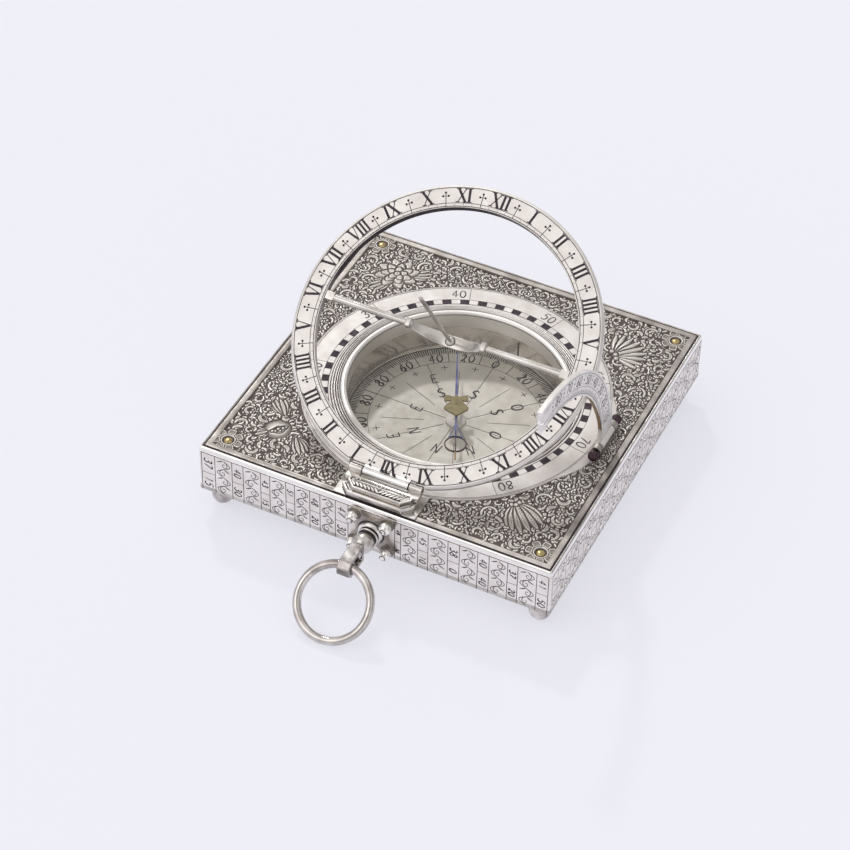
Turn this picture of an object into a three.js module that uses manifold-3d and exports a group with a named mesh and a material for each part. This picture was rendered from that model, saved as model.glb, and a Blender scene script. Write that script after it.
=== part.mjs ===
// Pocket equinoctial sundial: a square compass box with a hinged hour ring, a folding gnomon,
// a latitude arc and a swivelling suspension ring. Millimetres, +Z up, XII-XII line along Y.
// The origin is the centre of the base plate's underside.
import * as THREE from 'three';
import { mergeVertices } from 'three/addons/utils/BufferGeometryUtils.js';
import Module from 'manifold-3d';

const wasm = await Module();
wasm.setup();

// Box
const caseSide = 71.5;
const caseHeight = 11;
const baseThickness = 1.2;
const baseFieldInset = 6.15;
const baseFieldDepth = 0.2;
const wallThickness = 1.7;
const rimWidth = 0.75;
const rimBevel = 0.25;
const postWidth = 4.6;

// Top plate with its sunk ground for the carving
const plateThickness = 1.4;
const plateClearance = 0.1;
const plateBorder = 1.1;
const groundDepth = 0.35;
const screwInset = 4.05;
const screwHeadRadius = 0.95;
const screwShankRadius = 0.5;
const screwLength = 4;
const screwClearance = 0.15;

// Feet
const footInset = 3.05;
const footRadius = 2.1;
const footNeckRadius = 1;
const footFlatRadius = 0.6;
const footHeight = 4.3;

// Scale ring let into the plate, with the ear that carries the latitude arc
const scaleInset = 6.15;
const scaleWidth = 5.65;
const scaleThickness = 0.7;
const seatClearance = 0.1;
const earReach = 1.8;
const earCentreY = -0.5;
const earSharpness = 10.2;

// Bezel, glass and compass
const bezelHeight = 0.75;
const bezelWidth = 3.05;
const bezelWallThickness = 0.7;
const glassDepth = 2.75;
const glassThickness = 0.75;
const bowlWallThickness = 0.65;
const bowlLedge = 0.6;
const bowlFloorThickness = 0.9;
const cardThickness = 0.4;
const bossRadius = 2;
const bossHeight = 0.7;
const pivotRadius = 0.35;
const pivotTipRadius = 0.12;
const needleDrop = 0.6;
const needleEndGap = 5.7;
const needleWidth = 0.7;
const needleThickness = 0.25;
const needleHubRadius = 1.3;
const needleHubBore = 0.5;
const needleTailLength = 4.9;
const needleLoopRadius = 1.85;
const needleLoopBore = 1.3;
const needleBearing = 24.7;
const capRadius = 2.2;
const capHeight = 0.35;

// Hinge of the hour ring
const hingeInset = 5.95;
const hingeLift = 0.4;
const knuckleRadius = 0.8;
const knuckleBore = 0.45;
const hingePinRadius = 0.35;
const hingeHalfLength = 7.35;
const sideKnuckleLength = 2.75;
const knuckleGap = 0.15;
const leafThickness = 0.25;
const leafMargin = 0.95;
const leafBack = 1.1;
const bracketEndInset = 0.25;
const bracketGap = 1.4;
const bracketStepHeight = 1;
const bracketHeight = 2.1;
const bracketStep = 0.7;
const bracketCut = 1.6;
const panelBorder = 0.45;
const panelDepth = 0.3;

// Hour ring
const ringTilt = 32.5;
const ringSetback = 1.1;
const ringOverlap = 0.63;
const ringWidth = 4.62;
const ringThickness = 1.6;
const ringBevel = 0.4;
const ringNotchClearance = 0.35;
const tabThickness = 0.9;

// Gnomon
const bearingSize = 1.6;
const bearingGap = 0.12;
const rodRadius = 0.5;
const rodClearance = 0.12;
const bowHalfSpan = 7.6;
const bowBlock = 1.3;
const bowDepth = 3.6;
const bowThickness = 0.4;
const bowWidth = 1.7;
const pinRadius = 0.5;
const pinTipRadius = 0.3;
const pinEndGap = 3.31;
const pinShankRadius = 0.3;

// Latitude arc
const arcInset = 3;
const arcWidth = 4.7;
const arcThickness = 0.85;
const arcLean = 1.2;
const arcFlare = 1.1;
const arcFootFlareSpread = 14;
const arcTipFlareSpread = 16;
const arcTipFlareShare = 0.6;
const arcEndAngle = 94;
const arcFootAngle = 4;
const arcClearance = 1.37;
const arcFootShift = 0.9;
const arcPivotHeight = 1.4;
const arcFaceOffset = 0.3;
const arcKnuckleRadius = 0.9;
const arcKnuckleHalf = 2.7;
const arcKnuckleGap = 0.2;
const lugThickness = 1.3;
const lugRadius = 1;
const lugFootThickness = 0.25;
const arcPinRadius = 0.4;
const arcPinClearance = 0.1;
const ballRadius = 1.05;
const ballGap = 0.2;

// Suspension
const swivelX = 0.3;
const swivelLift = 0.2;
const mountPlateSide = 8.6;
const mountPlateThickness = 0.7;
const mountPlateScoop = 1.2;
const studInset = 0.95;
const studRadius = 1.2;
const studNeckRadius = 0.8;
const studHeight = 2.3;
const swivelRadius = 2.5;
const swivelCollar = 0.8;
const swivelBallRadius = 2;
const swivelNeckRadius = 0.75;
const swivelHeadRadius = 1.1;
const swivelHeadThickness = 0.6;
const strapWidth = 2.5;
const strapThickness = 0.55;
const strapHalfHeight = 1.9;
const strapLength = 6.2;
const strapClearance = 0.2;
const suspensionRadius = 6.95;
const suspensionWireRadius = 0.82;
const suspensionPlace = 1.65;
const suspensionLift = 0.3;
const floorGap = 0.05;

// Facets
const around = 72;
const aroundSmall = 20;
const aroundBall = 16;
const ballRows = 6;
const overrun = 1;

// Places and sizes that follow from the case, from the outside inwards
const half = caseSide / 2;
const top = caseHeight;
const ledge = top - plateThickness;
const plateHalf = half - rimWidth - plateClearance;
const screwPlace = half - screwInset;
const footPlace = half - footInset;
const scaleRadius = half - scaleInset;
const scaleInnerRadius = scaleRadius - scaleWidth;
const earRadius = scaleRadius - earSharpness;
const earCentreX = scaleRadius + earReach - earRadius;
const bezelRadius = scaleInnerRadius - seatClearance;
const bezelInnerRadius = bezelRadius - bezelWidth;
const bowlInnerRadius = bezelInnerRadius + bezelWallThickness + seatClearance;
const needleHalf = bowlInnerRadius - bowlLedge - needleEndGap;
const needleLoopPlace = needleHalf - needleTailLength;

// The hinge of the hour ring, and what follows from it
const hingeY = -(half - hingeInset);
const hingeHeight = bracketHeight + hingeLift;
const centreKnuckleHalf = hingeHalfLength - sideKnuckleLength;
const leafHalfWidth = hingeHalfLength + leafMargin;
const bracketHalfWidth = hingeHalfLength - bracketEndInset;
const bracketFront = plateHalf;
const bracketBack = bracketGap - hingeY;
const ringReach = -hingeY - ringSetback;
const ringRadius = ringReach + ringOverlap;
const ringInnerRadius = ringRadius - ringWidth;
const pinReach = ringInnerRadius - pinEndGap;
const arcInnerRadius = ringReach - arcInset;
const arcOuterRadius = arcInnerRadius + arcWidth;
const arcPivotX = ringRadius + arcClearance;
const arcPivotY = hingeY + (arcInnerRadius + arcOuterRadius) / 2 + arcFootShift;
const studSpacing = mountPlateSide - 2 * studInset;

const metal = (color, roughness) => new THREE.MeshStandardMaterial({ color, roughness, metalness: 1 });
const silver = () => metal(0xc9c5bd, 0.32);
const darkSilver = () => metal(0x9a948c, 0.45);
const brass = () => metal(0xb8975a, 0.35);
const blued = () => metal(0x2d3a63, 0.3);

const dial = new THREE.Group();

// Solids

function toSolid(geometry) {
  const bare = geometry.clone();
  bare.deleteAttribute('normal');
  bare.deleteAttribute('uv');
  const merged = mergeVertices(bare);
  const solid = new wasm.Manifold(new wasm.Mesh({
    numProp: 3,
    vertProperties: merged.attributes.position.array,
    triVerts: new Uint32Array(merged.index.array),
  }));
  return solid;
}

function toGeometry(solid) {
  const mesh = solid.getMesh();
  const geometry = new THREE.BufferGeometry();
  geometry.setAttribute('position', new THREE.BufferAttribute(mesh.vertProperties, mesh.numProp));
  geometry.setIndex(new THREE.BufferAttribute(mesh.triVerts, 1));
  return geometry;
}

function join(first, ...others) {
  return toGeometry(others.reduce((all, next) => all.add(toSolid(next)), toSolid(first)));
}

function cut(first, ...others) {
  return toGeometry(others.reduce((all, next) => all.subtract(toSolid(next)), toSolid(first)));
}

function common(first, second) {
  return toGeometry(toSolid(first).intersect(toSolid(second)));
}

// A closed profile of [radius, height] pairs turned about Z, outer side first and upwards.
function turned(profile, segments = around) {
  const points = profile.map(([r, z]) => new THREE.Vector2(r, z));
  const onAxis = profile[0][0] === 0 && profile[profile.length - 1][0] === 0;
  if (!onAxis) points.push(points[0].clone());
  return new THREE.LatheGeometry(points, segments).rotateX(Math.PI / 2);
}

// The same for a square section: the first number is half the side.
function squareTurned(profile) {
  const corners = profile.map(([side, z]) => [side * Math.SQRT2, z]);
  return turned(corners, 4).rotateZ(Math.PI / 4);
}

function disc(radius, low, high, segments = around) {
  return turned([[0, low], [radius, low], [radius, high], [0, high]], segments);
}

function block(lowX, highX, lowY, highY, lowZ, highZ) {
  const box = new THREE.BoxGeometry(highX - lowX, highY - lowY, highZ - lowZ);
  return box.translate((lowX + highX) / 2, (lowY + highY) / 2, (lowZ + highZ) / 2);
}

function prism(outline, low, high) {
  const shape = new THREE.Shape(outline.map(([x, y]) => new THREE.Vector2(x, y)));
  const solid = new THREE.ExtrudeGeometry(shape, { depth: high - low, bevelEnabled: false, steps: 1 });
  return solid.translate(0, 0, low);
}

// Turns a solid made along Z so that it lies along X, or along -Y.
const alongX = (geometry) => geometry.rotateY(Math.PI / 2);
const towardsFront = (geometry) => geometry.rotateX(Math.PI / 2);
const alongY = (geometry) => geometry.rotateX(-Math.PI / 2);

function arcPoints(centreX, centreY, radius, fromDegrees, toDegrees, steps) {
  return Array.from({ length: steps + 1 }, (_, i) => {
    const angle = THREE.MathUtils.degToRad(fromDegrees + (toDegrees - fromDegrees) * i / steps);
    return [centreX + radius * Math.cos(angle), centreY + radius * Math.sin(angle)];
  });
}

function add(parent, name, geometry, material) {
  const mesh = new THREE.Mesh(geometry, material);
  mesh.name = name;
  parent.add(mesh);
  return mesh;
}

function group(parent, x, y, z) {
  const made = new THREE.Group();
  made.position.set(x, y, z);
  parent.add(made);
  return made;
}

const corners = [
  ['front_left', -1, -1],
  ['front_right', 1, -1],
  ['back_right', 1, 1],
  ['back_left', -1, 1],
];

// Box

// The base plate's underside is sunk a little between its feet.
const fieldHalf = half - baseFieldInset;
const baseBlank = squareTurned([[0, 0], [half - rimBevel, 0], [half, rimBevel], [half, baseThickness],
  [0, baseThickness]]);
add(dial, 'base_plate', cut(baseBlank,
  block(-fieldHalf, fieldHalf, -fieldHalf, fieldHalf, -overrun, baseFieldDepth)), silver());

const walls = squareTurned([
  [half, baseThickness],
  [half, top - rimBevel],
  [half - rimBevel, top],
  [half - rimWidth + rimBevel / 2, top],
  [half - rimWidth, top - rimBevel / 2],
  [half - rimWidth, ledge],
  [half - wallThickness, ledge],
  [half - wallThickness, baseThickness],
]);
const postInner = screwPlace - postWidth / 2;
const postOuter = half - wallThickness / 2;
const posts = corners.map(([, sx, sy]) => block(
  Math.min(sx * postInner, sx * postOuter), Math.max(sx * postInner, sx * postOuter),
  Math.min(sy * postInner, sy * postOuter), Math.max(sy * postInner, sy * postOuter),
  baseThickness, ledge));
const screwBores = corners.map(([, sx, sy]) =>
  disc(screwShankRadius + screwClearance, ledge - screwLength, top + overrun, aroundSmall)
    .translate(sx * screwPlace, sy * screwPlace, 0));
add(dial, 'case_frame', cut(join(walls, ...posts), ...screwBores), silver());

for (const [where, sx, sy] of corners) {
  // A ball worn to a small flat, on which the box stands.
  const flatAngle = Math.acos(footFlatRadius / footRadius);
  const centre = footRadius * Math.sin(flatAngle) - footHeight;
  const ball = arcPoints(0, centre, footRadius, -THREE.MathUtils.radToDeg(flatAngle), 60, ballRows);
  const neckLow = centre + footRadius * Math.sin(Math.PI / 3);
  const foot = turned([[0, -footHeight], ...ball, [footNeckRadius, neckLow], [footNeckRadius, 0], [0, 0]],
    aroundBall);
  add(dial, 'ball_foot_' + where, foot, silver()).position.set(sx * footPlace, sy * footPlace, 0);
}

// Top plate, sunk between its border and the scale ring

const bowlRadius = bowlInnerRadius + bowlWallThickness;
const holeRadius = bowlRadius + seatClearance;
const ground = top - groundDepth;
const scaleLow = top - scaleThickness;

function earDisc(grow, low, high) {
  const front = earCentreX + earRadius / 2;
  return common(disc(earRadius + grow, low, high).translate(earCentreX, earCentreY, 0),
    block(front, half, -half, half, low - overrun, high + overrun));
}

const groundHalf = plateHalf - plateBorder;
const plateBlank = block(-plateHalf, plateHalf, -plateHalf, plateHalf, ledge, top);
const sunkGround = block(-groundHalf, groundHalf, -groundHalf, groundHalf, ground, top + overrun);
const scaleSeat = join(disc(scaleRadius + seatClearance, scaleLow, top + overrun),
  earDisc(seatClearance, scaleLow, top + overrun));
const plateHole = disc(holeRadius, ledge - overrun, top + overrun);
const plateBores = corners.map(([, sx, sy]) =>
  disc(screwShankRadius + screwClearance, ledge - overrun, top + overrun, aroundSmall)
    .translate(sx * screwPlace, sy * screwPlace, 0));
add(dial, 'top_plate', cut(plateBlank, sunkGround, scaleSeat, plateHole, ...plateBores), darkSilver());

for (const [where, sx, sy] of corners) {
  const screw = turned([
    [0, ground - screwLength],
    [screwShankRadius, ground - screwLength],
    [screwShankRadius, ground],
    [screwHeadRadius, ground],
    [screwHeadRadius, ground + groundDepth * 0.7],
    [screwHeadRadius * 0.6, top],
    [0, top],
  ], aroundBall);
  add(dial, 'corner_screw_' + where, screw, brass()).position.set(sx * screwPlace, sy * screwPlace, 0);
}

const scaleBlank = join(disc(scaleRadius, scaleLow, top), earDisc(0, scaleLow, top));
add(dial, 'scale_ring', cut(scaleBlank,
  disc(scaleInnerRadius, scaleLow - overrun, top + overrun)), silver());

// Compass

// Shares of the bezel's width, from its inner to its outer edge, and of its height over the plate.
const bezelShares = [[1, 0], [0.93, 0.35], [0.84, 0.12], [0.72, 0.5], [0.6, 0.25], [0.48, 0.68],
  [0.38, 0.5], [0.26, 0.9], [0.12, 1], [0.03, 0.9], [0, 0.65]];
const glassTop = top - glassDepth;
const glassLow = glassTop - glassThickness;
const bezelTube = bezelInnerRadius + bezelWallThickness;
add(dial, 'bezel', turned([
  [bezelTube, glassTop + seatClearance],
  [bezelTube, scaleLow],
  [bezelRadius, scaleLow],
  ...bezelShares.map(([across, up]) => [bezelInnerRadius + bezelWidth * across, top + bezelHeight * up]),
  [bezelInnerRadius, glassTop + seatClearance],
]), silver());
add(dial, 'glass', disc(bezelTube, glassLow, glassTop),
  new THREE.MeshStandardMaterial({ color: 0xdfe8e2, roughness: 0.05, transparent: true, opacity: 0.3 }));

const bowlFloor = baseThickness + bowlFloorThickness;
add(dial, 'compass_bowl', turned([
  [0, baseThickness],
  [bowlRadius, baseThickness],
  [bowlRadius, scaleLow - seatClearance],
  [bowlInnerRadius, scaleLow - seatClearance],
  [bowlInnerRadius, glassLow],
  [bowlInnerRadius - bowlLedge, glassLow],
  [bowlInnerRadius - bowlLedge, bowlFloor],
  [0, bowlFloor],
]), silver());
const cardTop = bowlFloor + cardThickness;
add(dial, 'compass_card', disc(bowlInnerRadius - bowlLedge - seatClearance, bowlFloor, cardTop), silver());

const needleTop = glassLow - needleDrop;
const needleLow = needleTop - needleThickness;
add(dial, 'needle_pivot', turned([
  [0, cardTop],
  [bossRadius, cardTop],
  [bossRadius, cardTop + bossHeight * 0.4],
  [bossRadius * 0.75, cardTop + bossHeight * 0.85],
  [pivotRadius, cardTop + bossHeight],
  [pivotRadius, needleLow - needleThickness],
  [pivotTipRadius, needleTop - needleThickness * 0.2],
  [0, needleTop - needleThickness * 0.2],
], aroundSmall), silver());

const needleGroup = group(dial, 0, 0, 0);
needleGroup.rotation.z = THREE.MathUtils.degToRad(needleBearing);
const needleSide = needleWidth / 2;
const blade = prism([[0, -needleHalf], [needleSide, -needleLoopPlace], [needleSide, needleHubRadius],
  [0, needleHalf], [-needleSide, needleHubRadius], [-needleSide, -needleLoopPlace]], needleLow, needleTop);
const needleBlank = join(blade, disc(needleHubRadius, needleLow, needleTop, aroundSmall),
  disc(needleLoopRadius, needleLow, needleTop, aroundSmall).translate(0, -needleLoopPlace, 0));
add(needleGroup, 'needle', cut(needleBlank,
  disc(needleHubBore, needleLow - overrun, needleTop + overrun, aroundSmall),
  disc(needleLoopBore, needleLow - overrun, needleTop + overrun, aroundSmall)
    .translate(0, -needleLoopPlace, 0),
), blued());

// Bell-shaped cap with two small wings, in shares of its radius.
const capShares = [[-0.25, -1], [0.25, -1], [0.95, -0.55], [1, 0.1], [0.45, 0.75], [0.95, 1.1],
  [0.9, 1.6], [0, 1.15], [-0.9, 1.6], [-0.95, 1.1], [-0.45, 0.75], [-1, 0.1], [-0.95, -0.55]];
add(needleGroup, 'needle_cap', prism(capShares.map(([x, y]) => [x * capRadius, y * capRadius]),
  needleTop, needleTop + capHeight), brass());

// Hinge bracket and pin

const hingeZ = top + hingeHeight;
const octagonFront = (halfWidth, back, front, corner) => [
  [-halfWidth, -back], [-halfWidth, -front + corner], [-halfWidth + corner, -front],
  [halfWidth - corner, -front], [halfWidth, -front + corner], [halfWidth, -back]];
const leafBackY = -hingeY - leafBack;
const stepTop = top + bracketStepHeight;
const bracketTop = top + bracketHeight;
const upperFront = bracketFront - bracketStep;
const upperHalf = bracketHalfWidth - bracketStep;
const knuckleLow = centreKnuckleHalf + knuckleGap;
const sideSpans = [[-hingeHalfLength, -knuckleLow], [knuckleLow, hingeHalfLength]];
const sideKnuckles = sideSpans.flatMap(([low, high]) => [
  alongX(disc(knuckleRadius, low, high, aroundSmall)).translate(0, hingeY, hingeZ),
  block(low, high, -bracketBack - bracketStep, hingeY, bracketTop - knuckleRadius, bracketTop),
]);
const bracketBody = join(
  block(-leafHalfWidth, leafHalfWidth, -bracketFront, -leafBackY, top, top + leafThickness),
  prism(octagonFront(bracketHalfWidth, bracketBack, bracketFront, bracketCut), top, stepTop),
  prism(octagonFront(upperHalf, bracketBack, upperFront, bracketCut), top, bracketTop),
  ...sideKnuckles,
);
const panel = prism(octagonFront(upperHalf - panelBorder, bracketBack + panelBorder,
  upperFront - panelBorder, bracketCut - panelBorder / 2), bracketTop - panelDepth, bracketTop + overrun);
const hingeBore = alongX(disc(knuckleBore, -half, half, aroundSmall)).translate(0, hingeY, hingeZ);
add(dial, 'hinge_bracket', cut(bracketBody, panel, hingeBore), silver());
add(dial, 'hinge_pin', alongX(disc(hingePinRadius, -hingeHalfLength, hingeHalfLength, aroundSmall))
  .translate(0, hingeY, hingeZ), darkSilver());

// Hour ring, modelled flat with its hinge axis on the X axis

const ringGroup = group(dial, 0, hingeY, hingeZ);
ringGroup.rotation.x = THREE.MathUtils.degToRad(ringTilt);
const ringHalf = ringThickness / 2;
const hoop = turned([
  [ringRadius - ringBevel, -ringHalf],
  [ringRadius, -ringHalf + ringBevel],
  [ringRadius, ringHalf - ringBevel],
  [ringRadius - ringBevel, ringHalf],
  [ringInnerRadius, ringHalf],
  [ringInnerRadius, -ringHalf],
]).translate(0, ringReach, 0);
const notchHalf = hingeHalfLength + ringNotchClearance;
const notchDepth = knuckleRadius + ringNotchClearance;
const notch = block(-notchHalf, notchHalf, ringReach - ringRadius - overrun, notchDepth,
  -ringThickness, ringThickness);
const tab = block(-centreKnuckleHalf, centreKnuckleHalf, 0, notchDepth + ringBevel,
  -tabThickness / 2, tabThickness / 2);
const centreKnuckle = alongX(disc(knuckleRadius, -centreKnuckleHalf, centreKnuckleHalf, aroundSmall));
const ringBore = alongX(disc(knuckleBore, -half, half, aroundSmall));
add(ringGroup, 'hour_ring', cut(join(cut(hoop, notch), tab, centreKnuckle), ringBore), silver());

for (const [side, sign] of [['left', -1], ['right', 1]]) {
  const outer = ringInnerRadius - bearingGap;
  const inner = outer - bearingSize;
  const bearing = cut(
    block(Math.min(sign * inner, sign * outer), Math.max(sign * inner, sign * outer),
      -bearingSize / 2, bearingSize / 2, -bearingSize / 2, bearingSize / 2),
    alongX(disc(rodRadius + rodClearance, -half, half, aroundSmall)),
  );
  add(ringGroup, 'gnomon_bearing_' + side, bearing, silver()).position.set(0, ringReach, 0);
}

// Gnomon bar: two rods, two blocks and the bow that drops below the ring's plane.
const gnomonGroup = group(ringGroup, 0, ringReach, 0);
const rodEnd = ringInnerRadius - bearingGap - rodClearance;
const bowRadius = (bowHalfSpan ** 2 + bowDepth ** 2) / (2 * bowDepth);
const bowHalfAngle = THREE.MathUtils.radToDeg(Math.asin(bowHalfSpan / bowRadius));
const bowCentre = bowRadius - bowDepth;
const bowSteps = 16;
const bowOutline = [
  ...arcPoints(0, bowCentre, bowRadius + bowThickness / 2, -90 - bowHalfAngle, -90 + bowHalfAngle, bowSteps),
  ...arcPoints(0, bowCentre, bowRadius - bowThickness / 2, -90 + bowHalfAngle, -90 - bowHalfAngle, bowSteps),
];
const bow = prism(bowOutline, -bowWidth / 2, bowWidth / 2).rotateX(Math.PI / 2);
const barParts = [-1, 1].flatMap((sign) => [
  alongX(disc(rodRadius, Math.min(sign * bowHalfSpan, sign * rodEnd),
    Math.max(sign * bowHalfSpan, sign * rodEnd), aroundSmall)),
  block(sign * bowHalfSpan - bowBlock / 2, sign * bowHalfSpan + bowBlock / 2,
    -bowBlock / 2, bowBlock / 2, -bowBlock / 2, bowBlock / 2),
]);
const pinBore = disc(pinShankRadius + rodClearance, -bowDepth - overrun, 0, aroundSmall);
add(gnomonGroup, 'gnomon_bar', cut(join(bow, ...barParts), pinBore), silver());
const bowTop = -bowDepth + bowThickness / 2;
add(gnomonGroup, 'gnomon_pin', turned([
  [0, -bowDepth - bowThickness / 2],
  [pinShankRadius, -bowDepth - bowThickness / 2],
  [pinShankRadius, bowTop + rodClearance],
  [pinRadius, bowTop + rodClearance],
  [pinTipRadius, pinReach],
  [0, pinReach],
], aroundSmall), silver());

// Latitude arc, centred on the ring's hinge axis, with its foot hinge

const pivotZ = top + arcPivotHeight;
const arcGroup = group(dial, arcPivotX, 0, pivotZ);
arcGroup.rotation.y = -THREE.MathUtils.degToRad(arcLean);
const arcSteps = 30;
// The band widens towards its foot and a little at its free end, as a share of the flare.
const bump = (distance, spread) => Math.exp(-((distance / spread) ** 2));
const flareShare = (degrees) => bump(degrees - arcFootAngle, arcFootFlareSpread)
  + arcTipFlareShare * bump(degrees - arcEndAngle, arcTipFlareSpread);
const band = (radius, from, to) => Array.from({ length: arcSteps + 1 }, (_, i) => {
  const degrees = from + (to - from) * i / arcSteps;
  const angle = THREE.MathUtils.degToRad(degrees);
  const r = radius + arcFlare * flareShare(degrees);
  return [hingeY + r * Math.cos(angle), hingeZ - pivotZ + r * Math.sin(angle)];
});
const arcOutline = [
  [arcPivotY + arcKnuckleHalf, 0],
  ...band(arcOuterRadius, arcFootAngle, arcEndAngle),
  ...band(arcInnerRadius, arcEndAngle, arcFootAngle),
  [arcPivotY - arcKnuckleHalf, 0],
];
// A prism drawn in the YZ plane: the outline's first number is Y, its second Z.
const standing = (outline, low, high) => prism(outline, low, high).rotateX(Math.PI / 2).rotateZ(Math.PI / 2);
const arcPlate = standing(arcOutline, arcFaceOffset - arcThickness, arcFaceOffset);
const arcKnuckle = alongY(disc(arcKnuckleRadius, arcPivotY - arcKnuckleHalf,
  arcPivotY + arcKnuckleHalf, aroundSmall));
const arcBore = alongY(disc(arcPinRadius + arcPinClearance, -half, half, aroundSmall));
add(arcGroup, 'latitude_arc', cut(join(arcPlate, arcKnuckle), arcBore), silver());

const lugStart = arcKnuckleHalf + arcKnuckleGap;
const lugEnd = lugStart + lugThickness;
const lugs = [[-lugEnd, -lugStart], [lugStart, lugEnd]].flatMap(([low, high]) => [
  alongY(disc(lugRadius, arcPivotY + low, arcPivotY + high, aroundSmall)).translate(arcPivotX, 0, pivotZ),
  block(arcPivotX - lugRadius, arcPivotX + lugRadius, arcPivotY + low, arcPivotY + high, top, pivotZ),
]);
const lugFoot = block(arcPivotX - lugRadius, arcPivotX + lugRadius, arcPivotY - lugEnd, arcPivotY + lugEnd,
  top, top + lugFootThickness);
const lugBore = alongY(disc(arcPinRadius + arcPinClearance, -half, half, aroundSmall));
add(dial, 'arc_hinge_base', cut(join(lugFoot, ...lugs), lugBore.translate(arcPivotX, 0, pivotZ)), silver());

const ballPlace = lugEnd + ballGap + ballRadius;
const arcPin = join(
  new THREE.SphereGeometry(ballRadius, aroundBall, aroundBall / 2).translate(0, arcPivotY - ballPlace, 0),
  alongY(disc(arcPinRadius, arcPivotY - ballPlace, arcPivotY + ballPlace - ballRadius / 2, aroundSmall)),
);
add(dial, 'arc_hinge_pin', arcPin, darkSilver()).position.set(arcPivotX, 0, pivotZ);
const nutBore = alongY(disc(arcPinRadius + arcPinClearance, 0,
  arcPivotY + ballPlace - ballRadius / 4, aroundSmall));
add(dial, 'arc_hinge_ball', cut(
  new THREE.SphereGeometry(ballRadius, aroundBall, aroundBall / 2).translate(0, arcPivotY + ballPlace, 0),
  nutBore), darkSilver()).position.set(arcPivotX, 0, pivotZ);

// Suspension

const swivelZ = top / 2 + swivelLift;
const frontFace = -half;
const hanger = group(dial, swivelX, frontFace, swivelZ);
const plateCorner = mountPlateSide / 2;
const scoops = [0, 1, 2, 3].map((quarter) =>
  disc(mountPlateSide / 3, -overrun, mountPlateThickness + overrun, aroundSmall)
    .translate(plateCorner + mountPlateSide / 3 - mountPlateScoop, 0, 0).rotateZ(quarter * Math.PI / 2));
const mountBlank = block(-plateCorner, plateCorner, -plateCorner, plateCorner, 0, mountPlateThickness);
const mountPlate = cut(mountBlank, ...scoops);
const boss = disc(swivelRadius + mountPlateThickness, 0, mountPlateThickness);
add(hanger, 'suspension_plate', towardsFront(join(mountPlate, boss)), silver());

for (const [where, sx, sz] of [['lower_left', -1, -1], ['lower_right', 1, -1], ['upper_right', 1, 1],
  ['upper_left', -1, 1]]) {
  const centre = mountPlateThickness + studHeight - studRadius;
  const dome = arcPoints(0, centre, studRadius, -45, 90, ballRows);
  dome[ballRows][0] = 0;
  const stud = towardsFront(turned([[0, mountPlateThickness], [studNeckRadius, mountPlateThickness],
    [studNeckRadius, centre - studRadius * Math.SQRT1_2], ...dome], aroundBall));
  add(hanger, 'suspension_stud_' + where, stud, silver())
    .position.set(sx * studSpacing / 2, 0, sz * studSpacing / 2);
}

const collarLow = mountPlateThickness;
const collarHigh = collarLow + swivelCollar;
const neckAfter = collarHigh + swivelCollar / 2;
const secondHigh = neckAfter + swivelCollar / 2;
const ballCentre = secondHigh + swivelBallRadius * 0.75;
const ballEnd = ballCentre + swivelBallRadius * Math.cos(Math.PI / 8);
const strapStart = ballEnd + strapClearance;
const headLow = strapStart + strapThickness + strapClearance;
const ballProfile = arcPoints(0, ballCentre, swivelBallRadius, -40, 67.5, ballRows);
add(hanger, 'swivel_stud', towardsFront(turned([
  [0, collarLow],
  [swivelRadius, collarLow],
  [swivelRadius, collarHigh],
  [swivelRadius * 0.6, collarHigh],
  [swivelRadius * 0.6, neckAfter],
  [swivelRadius * 0.85, neckAfter],
  [swivelRadius * 0.85, secondHigh],
  [swivelRadius * 0.6, secondHigh],
  ...ballProfile.filter(([, z]) => z > secondHigh),
  [swivelNeckRadius, ballEnd],
  [swivelNeckRadius, headLow],
  [swivelHeadRadius, headLow],
  [swivelHeadRadius, headLow + swivelHeadThickness],
  [0, headLow + swivelHeadThickness],
], aroundSmall)), silver());

// Stirrup strap: a flat loop round the stud's head and the ring's wire.
const strapEnd = strapStart + strapLength;
const strapTurn = strapHalfHeight * 0.6;
const strapLoop = (inset) => {
  const high = strapHalfHeight - inset;
  const nose = strapTurn - inset / 2;
  return [[strapStart + inset, -high], [strapEnd - inset - nose, -high], [strapEnd - inset, -high + nose],
    [strapEnd - inset, high - nose], [strapEnd - inset - nose, high], [strapStart + inset, high]];
};
const strapBand = (inset, halfWidth) => standing(
  strapLoop(inset).map(([out, up]) => [-out, up]), -halfWidth, halfWidth);
const strapEye = towardsFront(disc(swivelNeckRadius + strapClearance, 0,
  strapStart + strapThickness * 2, aroundSmall));
add(hanger, 'suspension_strap', cut(strapBand(0, strapWidth / 2),
  strapBand(strapThickness, strapWidth), strapEye), silver());

const wirePlace = strapEnd - suspensionPlace;
const wireZ = swivelZ + suspensionLift;
const drop = (wireZ - suspensionWireRadius + footHeight - floorGap) / (2 * suspensionRadius);
const suspensionGroup = group(hanger, 0, -wirePlace, suspensionLift);
suspensionGroup.rotation.x = Math.asin(drop);
add(suspensionGroup, 'suspension_ring', new THREE.TorusGeometry(suspensionRadius, suspensionWireRadius,
  aroundBall - ballRows, around / 2).translate(0, -suspensionRadius, 0), silver());

export default dial;
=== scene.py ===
import math

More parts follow.
